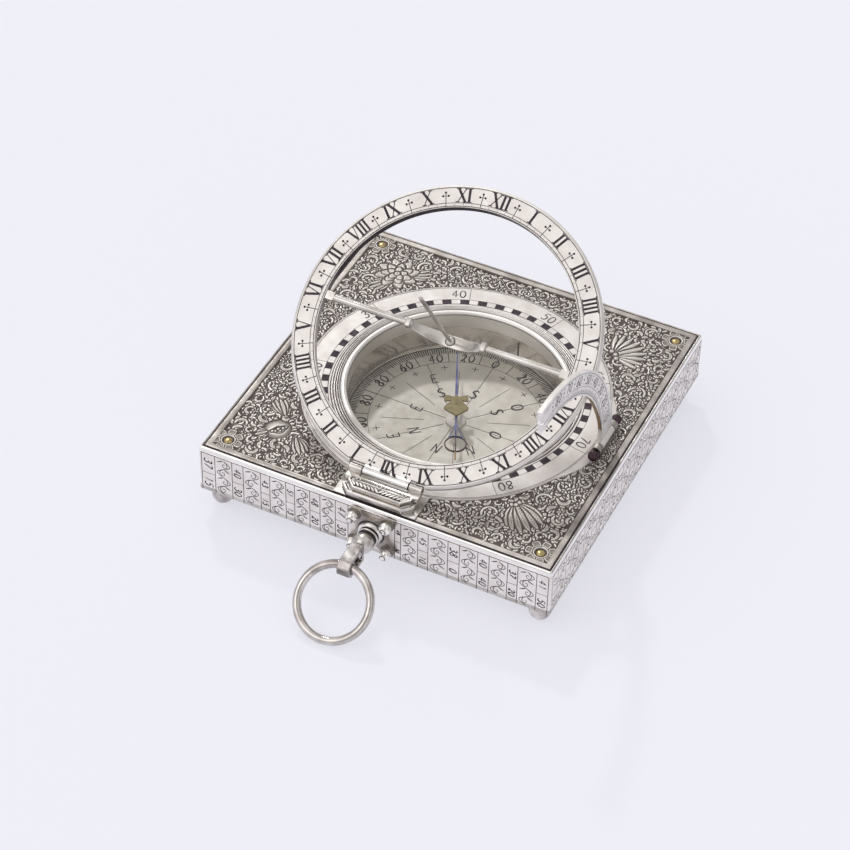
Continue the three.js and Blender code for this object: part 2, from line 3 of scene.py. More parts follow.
import bmesh
import bpy
import numpy as np
from mathutils import Matrix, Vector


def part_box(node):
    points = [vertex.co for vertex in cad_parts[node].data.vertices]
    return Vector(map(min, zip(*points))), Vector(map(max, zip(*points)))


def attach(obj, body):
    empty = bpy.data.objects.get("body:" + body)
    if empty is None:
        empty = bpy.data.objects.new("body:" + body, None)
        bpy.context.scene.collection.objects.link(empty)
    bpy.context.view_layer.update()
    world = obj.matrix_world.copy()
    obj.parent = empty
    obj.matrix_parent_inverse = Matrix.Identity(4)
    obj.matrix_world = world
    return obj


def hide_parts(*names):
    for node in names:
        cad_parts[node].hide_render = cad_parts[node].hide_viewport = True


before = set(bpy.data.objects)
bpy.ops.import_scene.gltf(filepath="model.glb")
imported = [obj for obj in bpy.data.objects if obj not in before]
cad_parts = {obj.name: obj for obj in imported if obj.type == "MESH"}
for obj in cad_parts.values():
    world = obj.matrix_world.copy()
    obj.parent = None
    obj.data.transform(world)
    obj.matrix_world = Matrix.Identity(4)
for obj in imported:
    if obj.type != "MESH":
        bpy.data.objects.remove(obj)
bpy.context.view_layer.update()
mm = 0.001
tau = 2 * math.pi

boxSizes = {
    "half": 35.75, "top": 11.0, "plateHalf": 34.9, "groundHalf": 33.8, "ground": 10.65,
    "hingeY": -29.8, "hingeZ": 13.5, "ringReach": 28.7, "ringTilt": 32.5,
}
half, plateTop = boxSizes["half"], boxSizes["top"]
corners = (("front_left", -1, -1), ("front_right", 1, -1), ("back_right", 1, 1), ("back_left", -1, 1))


# ---- shapes ----

def gridFaces(rows, cols, closeRows=False, closeCols=True):
    # Quads between neighbouring points of a grid of rows by cols, wrapped round where it is closed.
    r = np.arange(rows if closeRows else rows - 1)[:, None]
    c = np.arange(cols if closeCols else cols - 1)[None, :]
    nextR, nextC = (r + 1) % rows, (c + 1) % cols
    quads = np.stack([r * cols + c, r * cols + nextC, nextR * cols + nextC, nextR * cols + c], -1)
    return quads.reshape(-1, 4)


def outward(angle):
    # The unit vector (cos a, sin a), or one for each angle of an array.
    return np.stack([np.cos(angle), np.sin(angle)], -1)


def skinned(rows, first, last):
    # A skin over rows of points, each row a closed ring, its two ends drawn in to one point each.
    ends = [np.tile(np.reshape(p, (1, 1, 3)), (1, rows.shape[1], 1)) for p in (first, last)]
    rows = np.concatenate([ends[0], rows, ends[1]])
    return rows.reshape(-1, 3), gridFaces(len(rows), rows.shape[1], False, True)


def volumeOf(points, faces):
    # Six times the enclosed volume: the sum over each quad's two triangles of a . (b x c).
    a, b, c, d = (points[faces[:, i]] for i in range(4))
    return np.einsum("ij,ij->", a, np.cross(b, c)) + np.einsum("ij,ij->", a, np.cross(c, d))


def joinShells(shells):
    # One shell from several, each turned outwards: points stacked, face numbers moved past those before.
    shells = [(p, f[:, ::-1] if volumeOf(p, f) < 0 else f) for p, f in shells]
    starts = np.cumsum([0] + [len(points) for points, _ in shells[:-1]])
    faces = np.vstack([f + s for (_, f), s in zip(shells, starts)])
    return np.vstack([points for points, _ in shells]), faces


def turned(profile, segments=160, closed=False):
    # A profile of (radius, height) turned about Z: x = r cos a, y = r sin a, z = height.
    profile = np.asarray(profile, float)
    angle = np.linspace(0, tau, segments, endpoint=False)
    r, z = profile[:, :1], profile[:, 1:]
    points = np.stack([r * np.cos(angle), r * np.sin(angle), z + 0 * angle], -1)
    return points.reshape(-1, 3), gridFaces(len(profile), segments, closed, True)


def softened(profile, reach, steps=5, closed=False):
    # Each corner is cut back by reach along both sides, at most 0.30 of a side, and bridged by a quadratic
    # curve; a further point on either side, at most at 0.48, keeps the flats flat.
    p = np.asarray(profile, float)
    before, after = np.roll(p, 1, 0), np.roll(p, -1, 0)
    if not closed:
        before[0], after[-1] = p[0], p[-1]

    def towards(q, far):
        # The point far times reach from p on the way to q.
        d = q - p
        length = np.maximum(np.linalg.norm(d, axis=1, keepdims=True), 1e-9)
        return p + d * np.minimum(reach * far / length, 0.30 + 0.18 * (far - 1))

    a, b = towards(before, 1), towards(after, 1)
    t = np.linspace(0, 1, steps)[None, :, None]
    curve = a[:, None] * (1 - t) ** 2 + 2 * p[:, None] * t * (1 - t) + b[:, None] * t ** 2
    curve = np.concatenate([towards(before, 2)[:, None], curve, towards(after, 2)[:, None]], 1)
    curve = curve.reshape(-1, p.shape[1])
    return curve if closed else np.vstack([p[:1], curve[steps + 2:-steps - 2], p[-1:]])


def squareSwept(profile, corner, steps=6, closed=True):
    # A profile of (half side, height) carried round a square; every corner is an arc about one centre.
    profile = np.asarray(profile, float)
    outer = profile[:, 0].max()
    arc = np.maximum(corner - (outer - profile[:, 0]), 0)[:, None]
    centre = profile[:, :1] - arc
    angle = (np.arange(4)[:, None] * tau / 4 + np.linspace(0, tau / 4, steps)[None]).ravel()
    quarter = np.repeat(np.arange(4) * tau / 4 + tau / 8, steps)
    x = centre * math.sqrt(2) * np.cos(quarter) + arc * np.cos(angle)
    y = centre * math.sqrt(2) * np.sin(quarter) + arc * np.sin(angle)
    points = np.stack([x, y, profile[:, 1:] + 0 * x], -1).reshape(-1, 3)
    return points, gridFaces(len(profile), 4 * steps, closed, True)


def plug(halfSide, low, high, bevel=0.1, corner=0.15):
    # A short square bar with chamfered ends and rounded corners.
    profile = [(0.001, low), (halfSide - bevel, low), (halfSide, low + bevel), (halfSide, high - bevel),
               (halfSide - bevel, high), (0.001, high)]
    points, faces = squareSwept(profile, corner, 4, False)
    points[np.hypot(points[:, 0], points[:, 1]) < 0.01, :2] = 0
    return points, faces


def slab(outline, low, high, bevel=0.06):
    # A plate cut to an outline that its own middle can see, with its upper edge taken off.
    outline = np.asarray(outline, float)
    middle = outline.mean(0)
    inward = middle - outline
    inward /= np.linalg.norm(inward, axis=1, keepdims=True)
    rings = ((middle + 0 * outline, low), (outline, low), (outline, high - bevel), (outline + inward * bevel, high),
             (middle + 0 * outline, high))
    points = np.vstack([np.column_stack([p, np.full(len(outline), z)]) for p, z in rings])
    return points, gridFaces(len(rings), len(outline), False, True)


def ribbon(path, width, low=0.0, high=0.02):
    # A flat bar along a path: each station has its left and right edge, below and above.
    path = np.asarray(path, float)
    width = np.broadcast_to(np.asarray(width, float), len(path))
    along = np.gradient(path, axis=0)
    along /= np.maximum(np.linalg.norm(along, axis=1, keepdims=True), 1e-9)
    side = np.stack([-along[:, 1], along[:, 0]], -1) * width[:, None] / 2
    left, right = path + side, path - side
    ends = [np.column_stack([p, np.full(len(path), z)])
            for p, z in ((left, low), (right, low), (right, high), (left, high))]
    points = np.stack(ends, 1).reshape(-1, 3)
    n = 4 * (len(path) - 1)
    caps = np.array([[3, 2, 1, 0], [n, n + 1, n + 2, n + 3]])
    return points, np.vstack([gridFaces(len(path), 4, False, True)[:, ::-1], caps[:, ::-1]])


def curveThrough(points, steps=5):
    # A smooth line through the given points: a cubic between each pair, whose slope at each point is half
    # the step from the point before it to the point after it.
    p = np.asarray(points, float)
    if len(p) < 3:
        return p
    q = np.vstack([2 * p[0] - p[1], p, 2 * p[-1] - p[-2]])
    t = np.linspace(0, 1, steps, endpoint=False)[None, :, None]
    a, b, c, d = (q[i:len(q) - 3 + i][:, None] for i in range(4))
    line = 0.5 * (2 * b + (c - a) * t + (2 * a - 5 * b + 4 * c - d) * t ** 2
                  + (3 * b - a - 3 * c + d) * t ** 3)
    return np.vstack([line.reshape(-1, p.shape[1]), p[-1:]])


def moved(shell, turn=0.0, offset=(0, 0, 0), scale=1.0):
    # A shell scaled in its plane, turned about Z and shifted.
    points, faces = shell
    c, s = math.cos(turn), math.sin(turn)
    p = points * np.array([scale, scale, 1.0])
    p = p @ np.array([[c, s, 0], [-s, c, 0], [0, 0, 1]]) + np.asarray(offset, float)
    return p, faces


def posed(shell, origin, xAxis, yAxis):
    # A shell taken to the frame whose origin and first two axes are given.
    points, faces = shell
    zAxis = np.cross(xAxis, yAxis)
    return points @ np.array([xAxis, yAxis, zAxis], float) + np.asarray(origin, float), faces


def pipe(path, radius, around=16, closed=True):
    # A round tube: at each station a circle in the plane square to the path; open ends run to a point.
    path = np.asarray(path, float)
    radius = np.broadcast_to(np.asarray(radius, float), len(path))
    if not closed:
        path, radius = np.vstack([path[:1], path, path[-1:]]), np.concatenate([[0], radius, [0]])
    along = (np.roll(path, -1, 0) - np.roll(path, 1, 0)) if closed else np.gradient(path, axis=0)
    along /= np.maximum(np.linalg.norm(along, axis=1, keepdims=True), 1e-9)
    side = np.cross(along, np.array([0.0, 0.0, 1.0]))
    side /= np.maximum(np.linalg.norm(side, axis=1, keepdims=True), 1e-9)
    up = np.cross(side, along)
    a = np.linspace(0, tau, around, endpoint=False)[None, :, None]
    points = path[:, None] + radius[:, None, None] * (np.cos(a) * side[:, None] + np.sin(a) * up[:, None])
    return points.reshape(-1, 3), gridFaces(len(path), around, closed, True)


def placed(name, data):
    # A new object in the scene.
    made = bpy.data.objects.new(name, data)
    bpy.context.scene.collection.objects.link(made)
    return made


def putPiece(name, shell, look, body="case", slot="silver", replaces=(), crease=35, weld=True):
    # Makes the mesh from whole arrays, turned outwards by the sign of its volume; weld merges equal points.
    points, faces = shell
    if weld and volumeOf(points, faces) < 0:
        faces = faces[:, ::-1]
    mesh = bpy.data.meshes.new(name)
    mesh.vertices.add(len(points))
    mesh.vertices.foreach_set("co", (points * mm).astype(np.float32).ravel())
    mesh.loops.add(faces.size)
    mesh.loops.foreach_set("vertex_index", faces.astype(np.int32).ravel())
    mesh.polygons.add(len(faces))
    mesh.polygons.foreach_set("loop_start", np.arange(0, faces.size, 4, dtype=np.int32))
    mesh.update(calc_edges=True)
    if weld:
        edit = bmesh.new()
        edit.from_mesh(mesh)
        bmesh.ops.remove_doubles(edit, verts=edit.verts, dist=2e-7)
        edit.to_mesh(mesh)
        edit.free()
    mesh.validate()
    return finishPiece(name, mesh, look, body, replaces, crease)


def finishPiece(name, mesh, look, body, replaces, crease):
    # Smooth faces with edges sharp above the crease angle; the piece rides its body.
    mesh.polygons.foreach_set("use_smooth", np.ones(len(mesh.polygons), bool))
    mesh.set_sharp_from_angle(angle=math.radians(crease))
    piece = placed(name, mesh)
    mesh.materials.append(looks[look])
    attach(piece, body)
    if replaces:
        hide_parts(*replaces)
    return piece


def dressed(name, node, look, body, slot, bevel, crease=32):
    # The solid's own shape, merged, its flat faces joined again, its edges rounded off.
    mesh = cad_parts[node].data.copy()
    edit = bmesh.new()
    edit.from_mesh(mesh)
    bmesh.ops.remove_doubles(edit, verts=edit.verts, dist=2e-6)
    bmesh.ops.dissolve_limit(edit, angle_limit=math.radians(0.6), verts=edit.verts, edges=edit.edges)
    edit.to_mesh(mesh)
    edit.free()
    mesh.materials.clear()
    piece = finishPiece(name, mesh, look, body, (node,), crease)
    if bevel:
        rounding = piece.modifiers.new("rounding", "BEVEL")
        rounding.width = bevel * mm
        rounding.segments = 2
        rounding.limit_method = "ANGLE"
        rounding.angle_limit = math.radians(crease)
        rounding.use_clamp_overlap = True
        rounding.harden_normals = False
    return piece


# ---- figures and letters, drawn as strokes in a cell one unit high ----

figureStrokes = {
    "0": [[(0.30, 1.0), (0.10, 0.85), (0.03, 0.5), (0.12, 0.12), (0.3, 0.0), (0.48, 0.14), (0.57, 0.5),
           (0.48, 0.87), (0.30, 1.0)]],
    "1": [[(0.18, 0.84), (0.32, 1.0)], [(0.32, 1.0), (0.30, 0.0)]],
    "2": [[(0.06, 0.76), (0.18, 0.96), (0.38, 0.98), (0.50, 0.78), (0.40, 0.5), (0.18, 0.2), (0.03, 0.03)],
          [(0.03, 0.03), (0.25, 0.08), (0.57, 0.0)]],
    "3": [[(0.08, 0.86), (0.26, 1.0), (0.47, 0.86), (0.40, 0.62), (0.22, 0.54)],
          [(0.22, 0.54), (0.48, 0.46), (0.54, 0.2), (0.34, 0.0), (0.10, 0.04), (0.03, 0.16)]],
    "4": [[(0.40, 1.0), (0.02, 0.34)], [(0.02, 0.34), (0.60, 0.36)], [(0.40, 1.0), (0.38, 0.0)]],
    "5": [[(0.16, 0.98), (0.55, 1.0)], [(0.16, 0.98), (0.10, 0.58)],
          [(0.10, 0.58), (0.34, 0.62), (0.52, 0.40), (0.44, 0.1), (0.20, 0.0), (0.03, 0.1)]],
    "6": [[(0.50, 0.98), (0.24, 0.82), (0.07, 0.46), (0.10, 0.12), (0.30, 0.0), (0.52, 0.14), (0.50, 0.4),
           (0.30, 0.52), (0.10, 0.36)]],
    "7": [[(0.05, 0.96), (0.30, 1.0), (0.57, 0.96)], [(0.57, 0.96), (0.34, 0.5), (0.22, 0.0)]],
    "8": [[(0.30, 0.54), (0.10, 0.74), (0.20, 0.97), (0.38, 0.98), (0.49, 0.76), (0.30, 0.54), (0.08, 0.34),
           (0.10, 0.08), (0.30, 0.0), (0.50, 0.1), (0.52, 0.34), (0.30, 0.54)]],
    "9": [[(0.48, 0.62), (0.28, 0.48), (0.08, 0.62), (0.10, 0.88), (0.30, 1.0), (0.50, 0.86), (0.50, 0.5),
           (0.36, 0.16), (0.12, 0.0)]],
    "N": [[(0.05, 0.0), (0.08, 1.0)], [(0.08, 1.0), (0.58, 0.0)], [(0.58, 0.0), (0.60, 1.0)]],
    "S": [[(0.52, 0.86), (0.34, 1.0), (0.12, 0.88), (0.12, 0.66), (0.32, 0.52), (0.52, 0.34), (0.46, 0.08),
           (0.24, 0.0), (0.05, 0.14)]],
    "E": [[(0.10, 0.0), (0.10, 1.0)], [(0.10, 1.0), (0.55, 1.0)], [(0.10, 0.52), (0.42, 0.52)],
          [(0.10, 0.0), (0.57, 0.0)]],
    "O": [[(0.30, 1.0), (0.08, 0.82), (0.02, 0.5), (0.10, 0.14), (0.3, 0.0), (0.52, 0.14), (0.60, 0.5),
           (0.52, 0.84), (0.30, 1.0)]],
}


def figures(text, height, stroke, slant=0.12, high=0.02):
    # Engraved figures centred on the origin: each stroke a curve that swells in the middle.
    shells = []
    for place, sign in enumerate(text):
        for line in figureStrokes[sign]:
            path = curveThrough(line, 4 if len(line) > 3 else 3)
            swell = stroke * (0.65 + 0.6 * np.sin(np.linspace(0.15, math.pi - 0.15, len(path))))
            x = path[:, 0] + slant * (path[:, 1] - 0.5) + (place - (len(text) - 1) / 2) * 0.78 - 0.3
            shells.append(ribbon(np.column_stack([x, path[:, 1] - 0.5]) * height, swell, 0, high))
    return joinShells(shells)


romanStrokes = {  # (points, thick or thin); the letter's own half width stands last
    "I": ([([(0, 0), (0, 1)], 1), ([(-0.19, 0.02), (0.19, 0.02)], 0), ([(-0.19, 0.98), (0.19, 0.98)], 0)], 0.17),
    "V": ([([(-0.27, 1), (0.03, 0)], 1), ([(0.30, 1), (0.04, 0)], 0), ([(-0.44, 0.98), (-0.08, 0.98)], 0),
           ([(0.16, 0.98), (0.44, 0.98)], 0)], 0.36),
    "X": ([([(-0.27, 1), (0.28, 0)], 1), ([(0.27, 1), (-0.27, 0)], 0), ([(-0.43, 0.98), (-0.09, 0.98)], 0),
           ([(0.13, 0.98), (0.40, 0.98)], 0), ([(-0.40, 0.02), (-0.12, 0.02)], 0),
           ([(0.09, 0.02), (0.44, 0.02)], 0)], 0.36),
}


def roman(text, height, thick, thin, high=0.02):
    # Roman figures centred on the origin: straight thick and thin bars with flat serifs.
    widths = [romanStrokes[sign][1] for sign in text]
    centres = np.cumsum([0] + [a + b for a, b in zip(widths[:-1], widths[1:])])
    centres = centres - (centres[0] - widths[0] + centres[-1] + widths[-1]) / 2
    shells = []
    for centre, sign in zip(centres, text):
        for line, heavy in romanStrokes[sign][0]:
            path = (np.array(line) + [centre, -0.5]) * height
            shells.append(ribbon(path, thick if heavy else thin, 0, high))
    return joinShells(shells)


def ringLine(radius, width, high=0.015, segments=240, span=(0, 360)):
    # An incised circle, or part of one.
    angle = np.radians(np.linspace(span[0], span[1], segments + 1))
    return ribbon(outward(angle) * radius, width, 0, high)


def spokes(angles, inner, outer, width, high=0.015):
    # Radial lines: one bar for each angle, from its inner to its outer radius.
    angles = np.radians(np.atleast_1d(angles))
    inner, outer = np.broadcast_to(inner, angles.shape), np.broadcast_to(outer, angles.shape)
    ray = outward(angles)
    width = np.broadcast_to(width, angles.shape)
    side = np.stack([-ray[:, 1], ray[:, 0]], -1) * width[:, None] / 2
    near, far = ray * inner[:, None], ray * outer[:, None]
    flat = np.stack([near + side, near - side, far - side, far + side], 1)
    low = np.concatenate([flat, np.zeros(flat.shape[:2] + (1,))], -1)
    up = np.concatenate([flat, np.full(flat.shape[:2] + (1,), high)], -1)
    points = np.concatenate([low, up], 1).reshape(-1, 3)
    cell = np.array([[0, 1, 2, 3], [7, 6, 5, 4], [0, 4, 5, 1], [1, 5, 6, 2], [2, 6, 7, 3], [3, 7, 4, 0]])
    faces = (cell[None] + 8 * np.arange(len(angles))[:, None, None]).reshape(-1, 4)
    return points, faces


def washer(inner, outer, low, high, segments):
    # A flat ring, or a drum where inner is nothing.
    return turned([(inner, low), (outer, low), (outer, high), (inner, high)], segments, inner > 0)


def bead(x, y, radius, high=0.02, segments=12):
    # A small round dot: a flat drum.
    return moved(washer(0, radius, 0, high, segments), 0, (x, y, 0))


def onDial(mark, degrees, radius=0.0):
    # A mark standing upright at the origin, taken clockwise round the dial and out to its radius.
    turn = -math.radians(degrees)
    return moved(mark, turn, (-math.sin(turn) * radius, math.cos(turn) * radius, 0))


def inlay(name, shells, height, look="inkAndShade"):
    # Lines or figures let into a level face of the case.
    putPiece(name, moved(joinShells(shells), 0, (0, 0, height)), look)


# ---- finishes ----

def setSockets(tree, node, sockets):
    # Each named or numbered input takes a plain value, or a link where another node's output is given.
    for key, value in sockets.items():
        if isinstance(value, bpy.types.NodeSocket):
            tree.links.new(value, node.inputs[key])
        else:
            node.inputs[key].default_value = value


def addNode(tree, kind, sockets=None, **options):
    # A shader node: its options first, since they decide which inputs there are, then its inputs.
    node = tree.nodes.new("ShaderNode" + kind)
    for key, value in options.items():
        setattr(node, key, value)
    setSockets(tree, node, sockets or {})
    return node


def addRamp(tree, share, first, last, *between):
    # A colour ramp over share; every stop is (place, colour).
    ramp = addNode(tree, "ValToRGB", {"Fac": share})
    stops = ramp.color_ramp.elements
    for k, (place, colour) in enumerate((first, last)):
        stops[k].position, stops[k].color = place, (*colour, 1)
    for place, colour in between:
        stops.new(place).color = (*colour, 1)
    return ramp.outputs["Color"]


def newMaterial(name):
    # A material with nodes, its tree and its shader.
    made = bpy.data.materials.new(name)
    made.use_nodes = True
    return made, made.node_tree, made.node_tree.nodes["Principled BSDF"]


def finish(name, settings):
    # Noise on Object coordinates mixes two tones, drifts the roughness and raises a fine grain.
    s = {"toneScale": 260, "toneDetail": 6, "grainScale": 5200, "grainDetail": 3, "grain": 0.06, "grainHigh": 2e-5,
         "metallic": 1.0, "rough": (0.24, 0.42), "drag": (1.0, 1.0, 1.0), "roughScale": 700, "roughDetail": 4,
         "roughSpan": (0.3, 0.7), "patch": (0.35, 0.7)}
    s.update(settings)
    made, tree, shader = newMaterial(name)
    place = addNode(tree, "TexCoord").outputs["Object"]
    drag = addNode(tree, "Mapping", {"Vector": place, "Scale": s["drag"]}).outputs["Vector"]
    tone, rough, grain = (
        addNode(tree, "TexNoise", {"Vector": vector, "Scale": s[key + "Scale"],
                                   "Detail": s[key + "Detail"]}).outputs["Fac"]
        for key, vector in (("tone", place), ("rough", drag), ("grain", drag)))
    spread = addNode(tree, "MapRange", {"Value": rough, "From Min": s["roughSpan"][0], "From Max": s["roughSpan"][1],
                                        "To Min": s["rough"][0], "To Max": s["rough"][1]})
    bump = addNode(tree, "Bump", {"Height": grain, "Strength": s["grain"], "Distance": s["grainHigh"]})
    setSockets(tree, shader, {
        "Base Color": addRamp(tree, tone, *zip(s["patch"], s["tones"])), "Roughness": spread.outputs["Result"],
        "Normal": bump.outputs["Normal"], "Metallic": s["metallic"]})
    return made


finishes = {
    "silver": {"tones": ((0.58, 0.55, 0.53), (0.86, 0.835, 0.815)), "rough": (0.20, 0.36)},
    "dialSilver": {"tones": ((0.76, 0.725, 0.705), (0.88, 0.855, 0.835)), "rough": (0.48, 0.60),
                   "grain": 0.05},
    "plateSilver": {"tones": ((0.74, 0.705, 0.685), (0.86, 0.835, 0.815)), "rough": (0.62, 0.72), "grain": 0.05},
    "turnedSilver": {"tones": ((0.68, 0.65, 0.62), (0.86, 0.835, 0.81)), "rough": (0.38, 0.46),
                     "grain": 0.02, "toneScale": 70},
    "bowlSilver": {"tones": ((0.60, 0.565, 0.525), (0.90, 0.865, 0.83)), "rough": (0.12, 0.24), "grain": 0.02,
                   "toneScale": 130, "metallic": 0.92, "roughScale": 240},
    "ringSilver": {"tones": ((0.34, 0.305, 0.29), (0.88, 0.85, 0.835)), "rough": (0.10, 0.22),
                   "toneScale": 190, "grain": 0.06, "roughScale": 300},
    "rodSilver": {"tones": ((0.50, 0.47, 0.445), (0.74, 0.715, 0.69)), "rough": (0.20, 0.30), "toneScale": 150,
                  "roughScale": 300},
    "strapSilver": {"tones": ((0.30, 0.27, 0.265), (0.62, 0.595, 0.58)), "rough": (0.14, 0.26), "toneScale": 260},
    "footSilver": {"tones": ((0.33, 0.29, 0.285), (0.78, 0.735, 0.72)), "rough": (0.13, 0.28), "toneScale": 420},
    "edgeSilver": {"tones": ((0.30, 0.27, 0.25), (0.53, 0.50, 0.47)), "rough": (0.34, 0.5), "toneScale": 240},
    # mark is a darker tone for painted shade and painted reflection: the studs' contact shadows and the card's ticks
    # mirrored in the bowl wall
    "mark": {"tones": ((0.20, 0.175, 0.155), (0.34, 0.31, 0.28)), "rough": (0.4, 0.6), "metallic": 0.7,
             "toneScale": 900},
    "wornSilver": {"tones": ((0.42, 0.39, 0.365), (0.66, 0.635, 0.60)), "rough": (0.30, 0.52),
                   "toneScale": 420, "patch": (0.3, 0.62)},
    "sideSilver": {"tones": ((0.83, 0.785, 0.755), (0.97, 0.93, 0.905)), "rough": (0.40, 0.56),
                   "grain": 0.14, "drag": (1.0, 1.0, 2.5)},
    "brightSilver": {"tones": ((0.86, 0.84, 0.825), (0.96, 0.945, 0.93)), "rough": (0.12, 0.24),
                     "grain": 0.03},
    "oldEdge": {"tones": ((0.26, 0.17, 0.09), (0.52, 0.40, 0.26)), "rough": (0.3, 0.5)},
    "darkPivot": {"tones": ((0.045, 0.03, 0.04), (0.16, 0.11, 0.12)), "rough": (0.22, 0.4)},
    "brass": {"tones": ((0.36, 0.27, 0.13), (0.60, 0.48, 0.26)), "rough": (0.22, 0.4), "toneScale": 900},
    "dullBrass": {"tones": ((0.20, 0.165, 0.085), (0.33, 0.285, 0.165)), "rough": (0.42, 0.58), "toneScale": 700,
                  "metallic": 0.75},
    # ink and line colour engraving and print, and also serve as painted shade in gaps, grooves, under parts and round
    # screws
    "inkAndShade": {"tones": ((0.022, 0.015, 0.022), (0.060, 0.042, 0.055)), "rough": (0.45, 0.7),
            "metallic": 0.3, "toneScale": 1500},
    "line": {"tones": ((0.05, 0.04, 0.043), (0.14, 0.115, 0.115)), "rough": (0.4, 0.65), "metallic": 0.6,
             "toneScale": 1200},
    "bluedSteel": {"tones": ((0.075, 0.08, 0.18), (0.17, 0.18, 0.33)), "rough": (0.25, 0.4),
                   "metallic": 0.9, "toneScale": 800},
    "card": {"tones": ((0.60, 0.575, 0.535), (0.755, 0.73, 0.69)), "rough": (0.45, 0.62),
             "metallic": 0.55, "grain": 0.10, "toneScale": 150},
}
looks = {name: finish(name, settings) for name, settings in finishes.items()}


def carvedFinish():
    # The relief's own height, kept as an attribute, goes from dark ground to rubbed bright silver.
    s = {"ground": (0.125, 0.100, 0.096), "flank": (0.31, 0.28, 0.26), "crest": (0.88, 0.85, 0.815),
         "flankAt": 0.46, "groundAt": 0.05, "crestRough": 0.42, "groundRough": 0.62, "mottle": 0.35,
         "metallic": 0.85}
    made = finish("carvedSilver", {"tones": ((0.5, 0.5, 0.5), (1.0, 1.0, 1.0)), "grain": 0.12,
                                   "toneScale": 500, "patch": (0.25, 0.6)})
    tree = made.node_tree
    shader = tree.nodes["Principled BSDF"]
    height = addNode(tree, "Attribute", attribute_name="relief").outputs["Fac"]
    tone = shader.inputs["Base Color"].links[0].from_socket
    relief = addRamp(tree, height, (s["groundAt"], s["ground"]), (1.0, s["crest"]), (s["flankAt"], s["flank"]))
    mix = addNode(tree, "Mix", {"Factor": s["mottle"], "A": relief, "B": tone}, data_type="RGBA",
                  blend_type="MULTIPLY")
    rough = addNode(tree, "MapRange", {"Value": height, "To Min": s["groundRough"], "To Max": s["crestRough"]})
    setSockets(tree, shader, {"Base Color": mix.outputs["Result"], "Roughness": rough.outputs["Result"],
                              "Metallic": s["metallic"]})
    return made


looks["carved"] = carvedFinish()


def glassFinish():
    # Clear old glass: light passes straight through, and a sheen, least + edge f^4, grows towards the edge
    # of view; f is the same from inside the pane, so the pane never mirrors its own inside.
    s = {"tint": (0.972, 0.97, 0.962), "gloss": (0.95, 0.97, 0.96), "least": 0.02, "edge": 0.75, "power": 4.0,
         "rough": 0.04}
    made, tree, _ = newMaterial("oldGlass")
    tree.nodes.clear()
    clear = addNode(tree, "BsdfTransparent", {"Color": (*s["tint"], 1)}).outputs["BSDF"]
    gloss = addNode(tree, "BsdfGlossy", {"Color": (*s["gloss"], 1), "Roughness": s["rough"]}).outputs["BSDF"]
    facing = addNode(tree, "LayerWeight", {"Blend": 0.5}).outputs["Facing"]
    steep = addNode(tree, "Math", {0: facing, 1: s["power"]}, operation="POWER").outputs["Value"]
    sheen = addNode(tree, "Math", {0: steep, 1: s["edge"], 2: s["least"]}, operation="MULTIPLY_ADD").outputs["Value"]
    mix = addNode(tree, "MixShader", {"Fac": sheen, 1: clear, 2: gloss})
    addNode(tree, "OutputMaterial", {"Surface": mix.outputs["Shader"]})
    return made


looks["glass"] = glassFinish()


def tarnishedFinish():
    # Dial silver with painted shade: it darkens to purple brown, losing its metal and gloss, where the hoop's
    # attribute puts shade on the inner wall.
    s = {"dark": (0.035, 0.022, 0.036), "spans": (("Metallic", 1.0, 0.0), ("Specular IOR Level", 0.5, 0.06))}
    made = finish("paintedShadeDialSilver", finishes["dialSilver"])
    tree = made.node_tree
    shader = tree.nodes["Principled BSDF"]
    share = addNode(tree, "Attribute", attribute_name="paintedShade").outputs["Fac"]
    tone = shader.inputs["Base Color"].links[0].from_socket
    mix = addNode(tree, "Mix", {"Factor": share, "A": tone, "B": (*s["dark"], 1)}, data_type="RGBA")
    setSockets(tree, shader, {"Base Color": mix.outputs["Result"]})
    for socket, clean, dark in s["spans"]:
        span = addNode(tree, "MapRange", {"Value": share, "To Min": clean, "To Max": dark})
        setSockets(tree, shader, {socket: span.outputs["Result"]})
    return made


looks["paintedShadeDial"] = tarnishedFinish()
print("finishes ready:", len(looks))


# ---- box ----

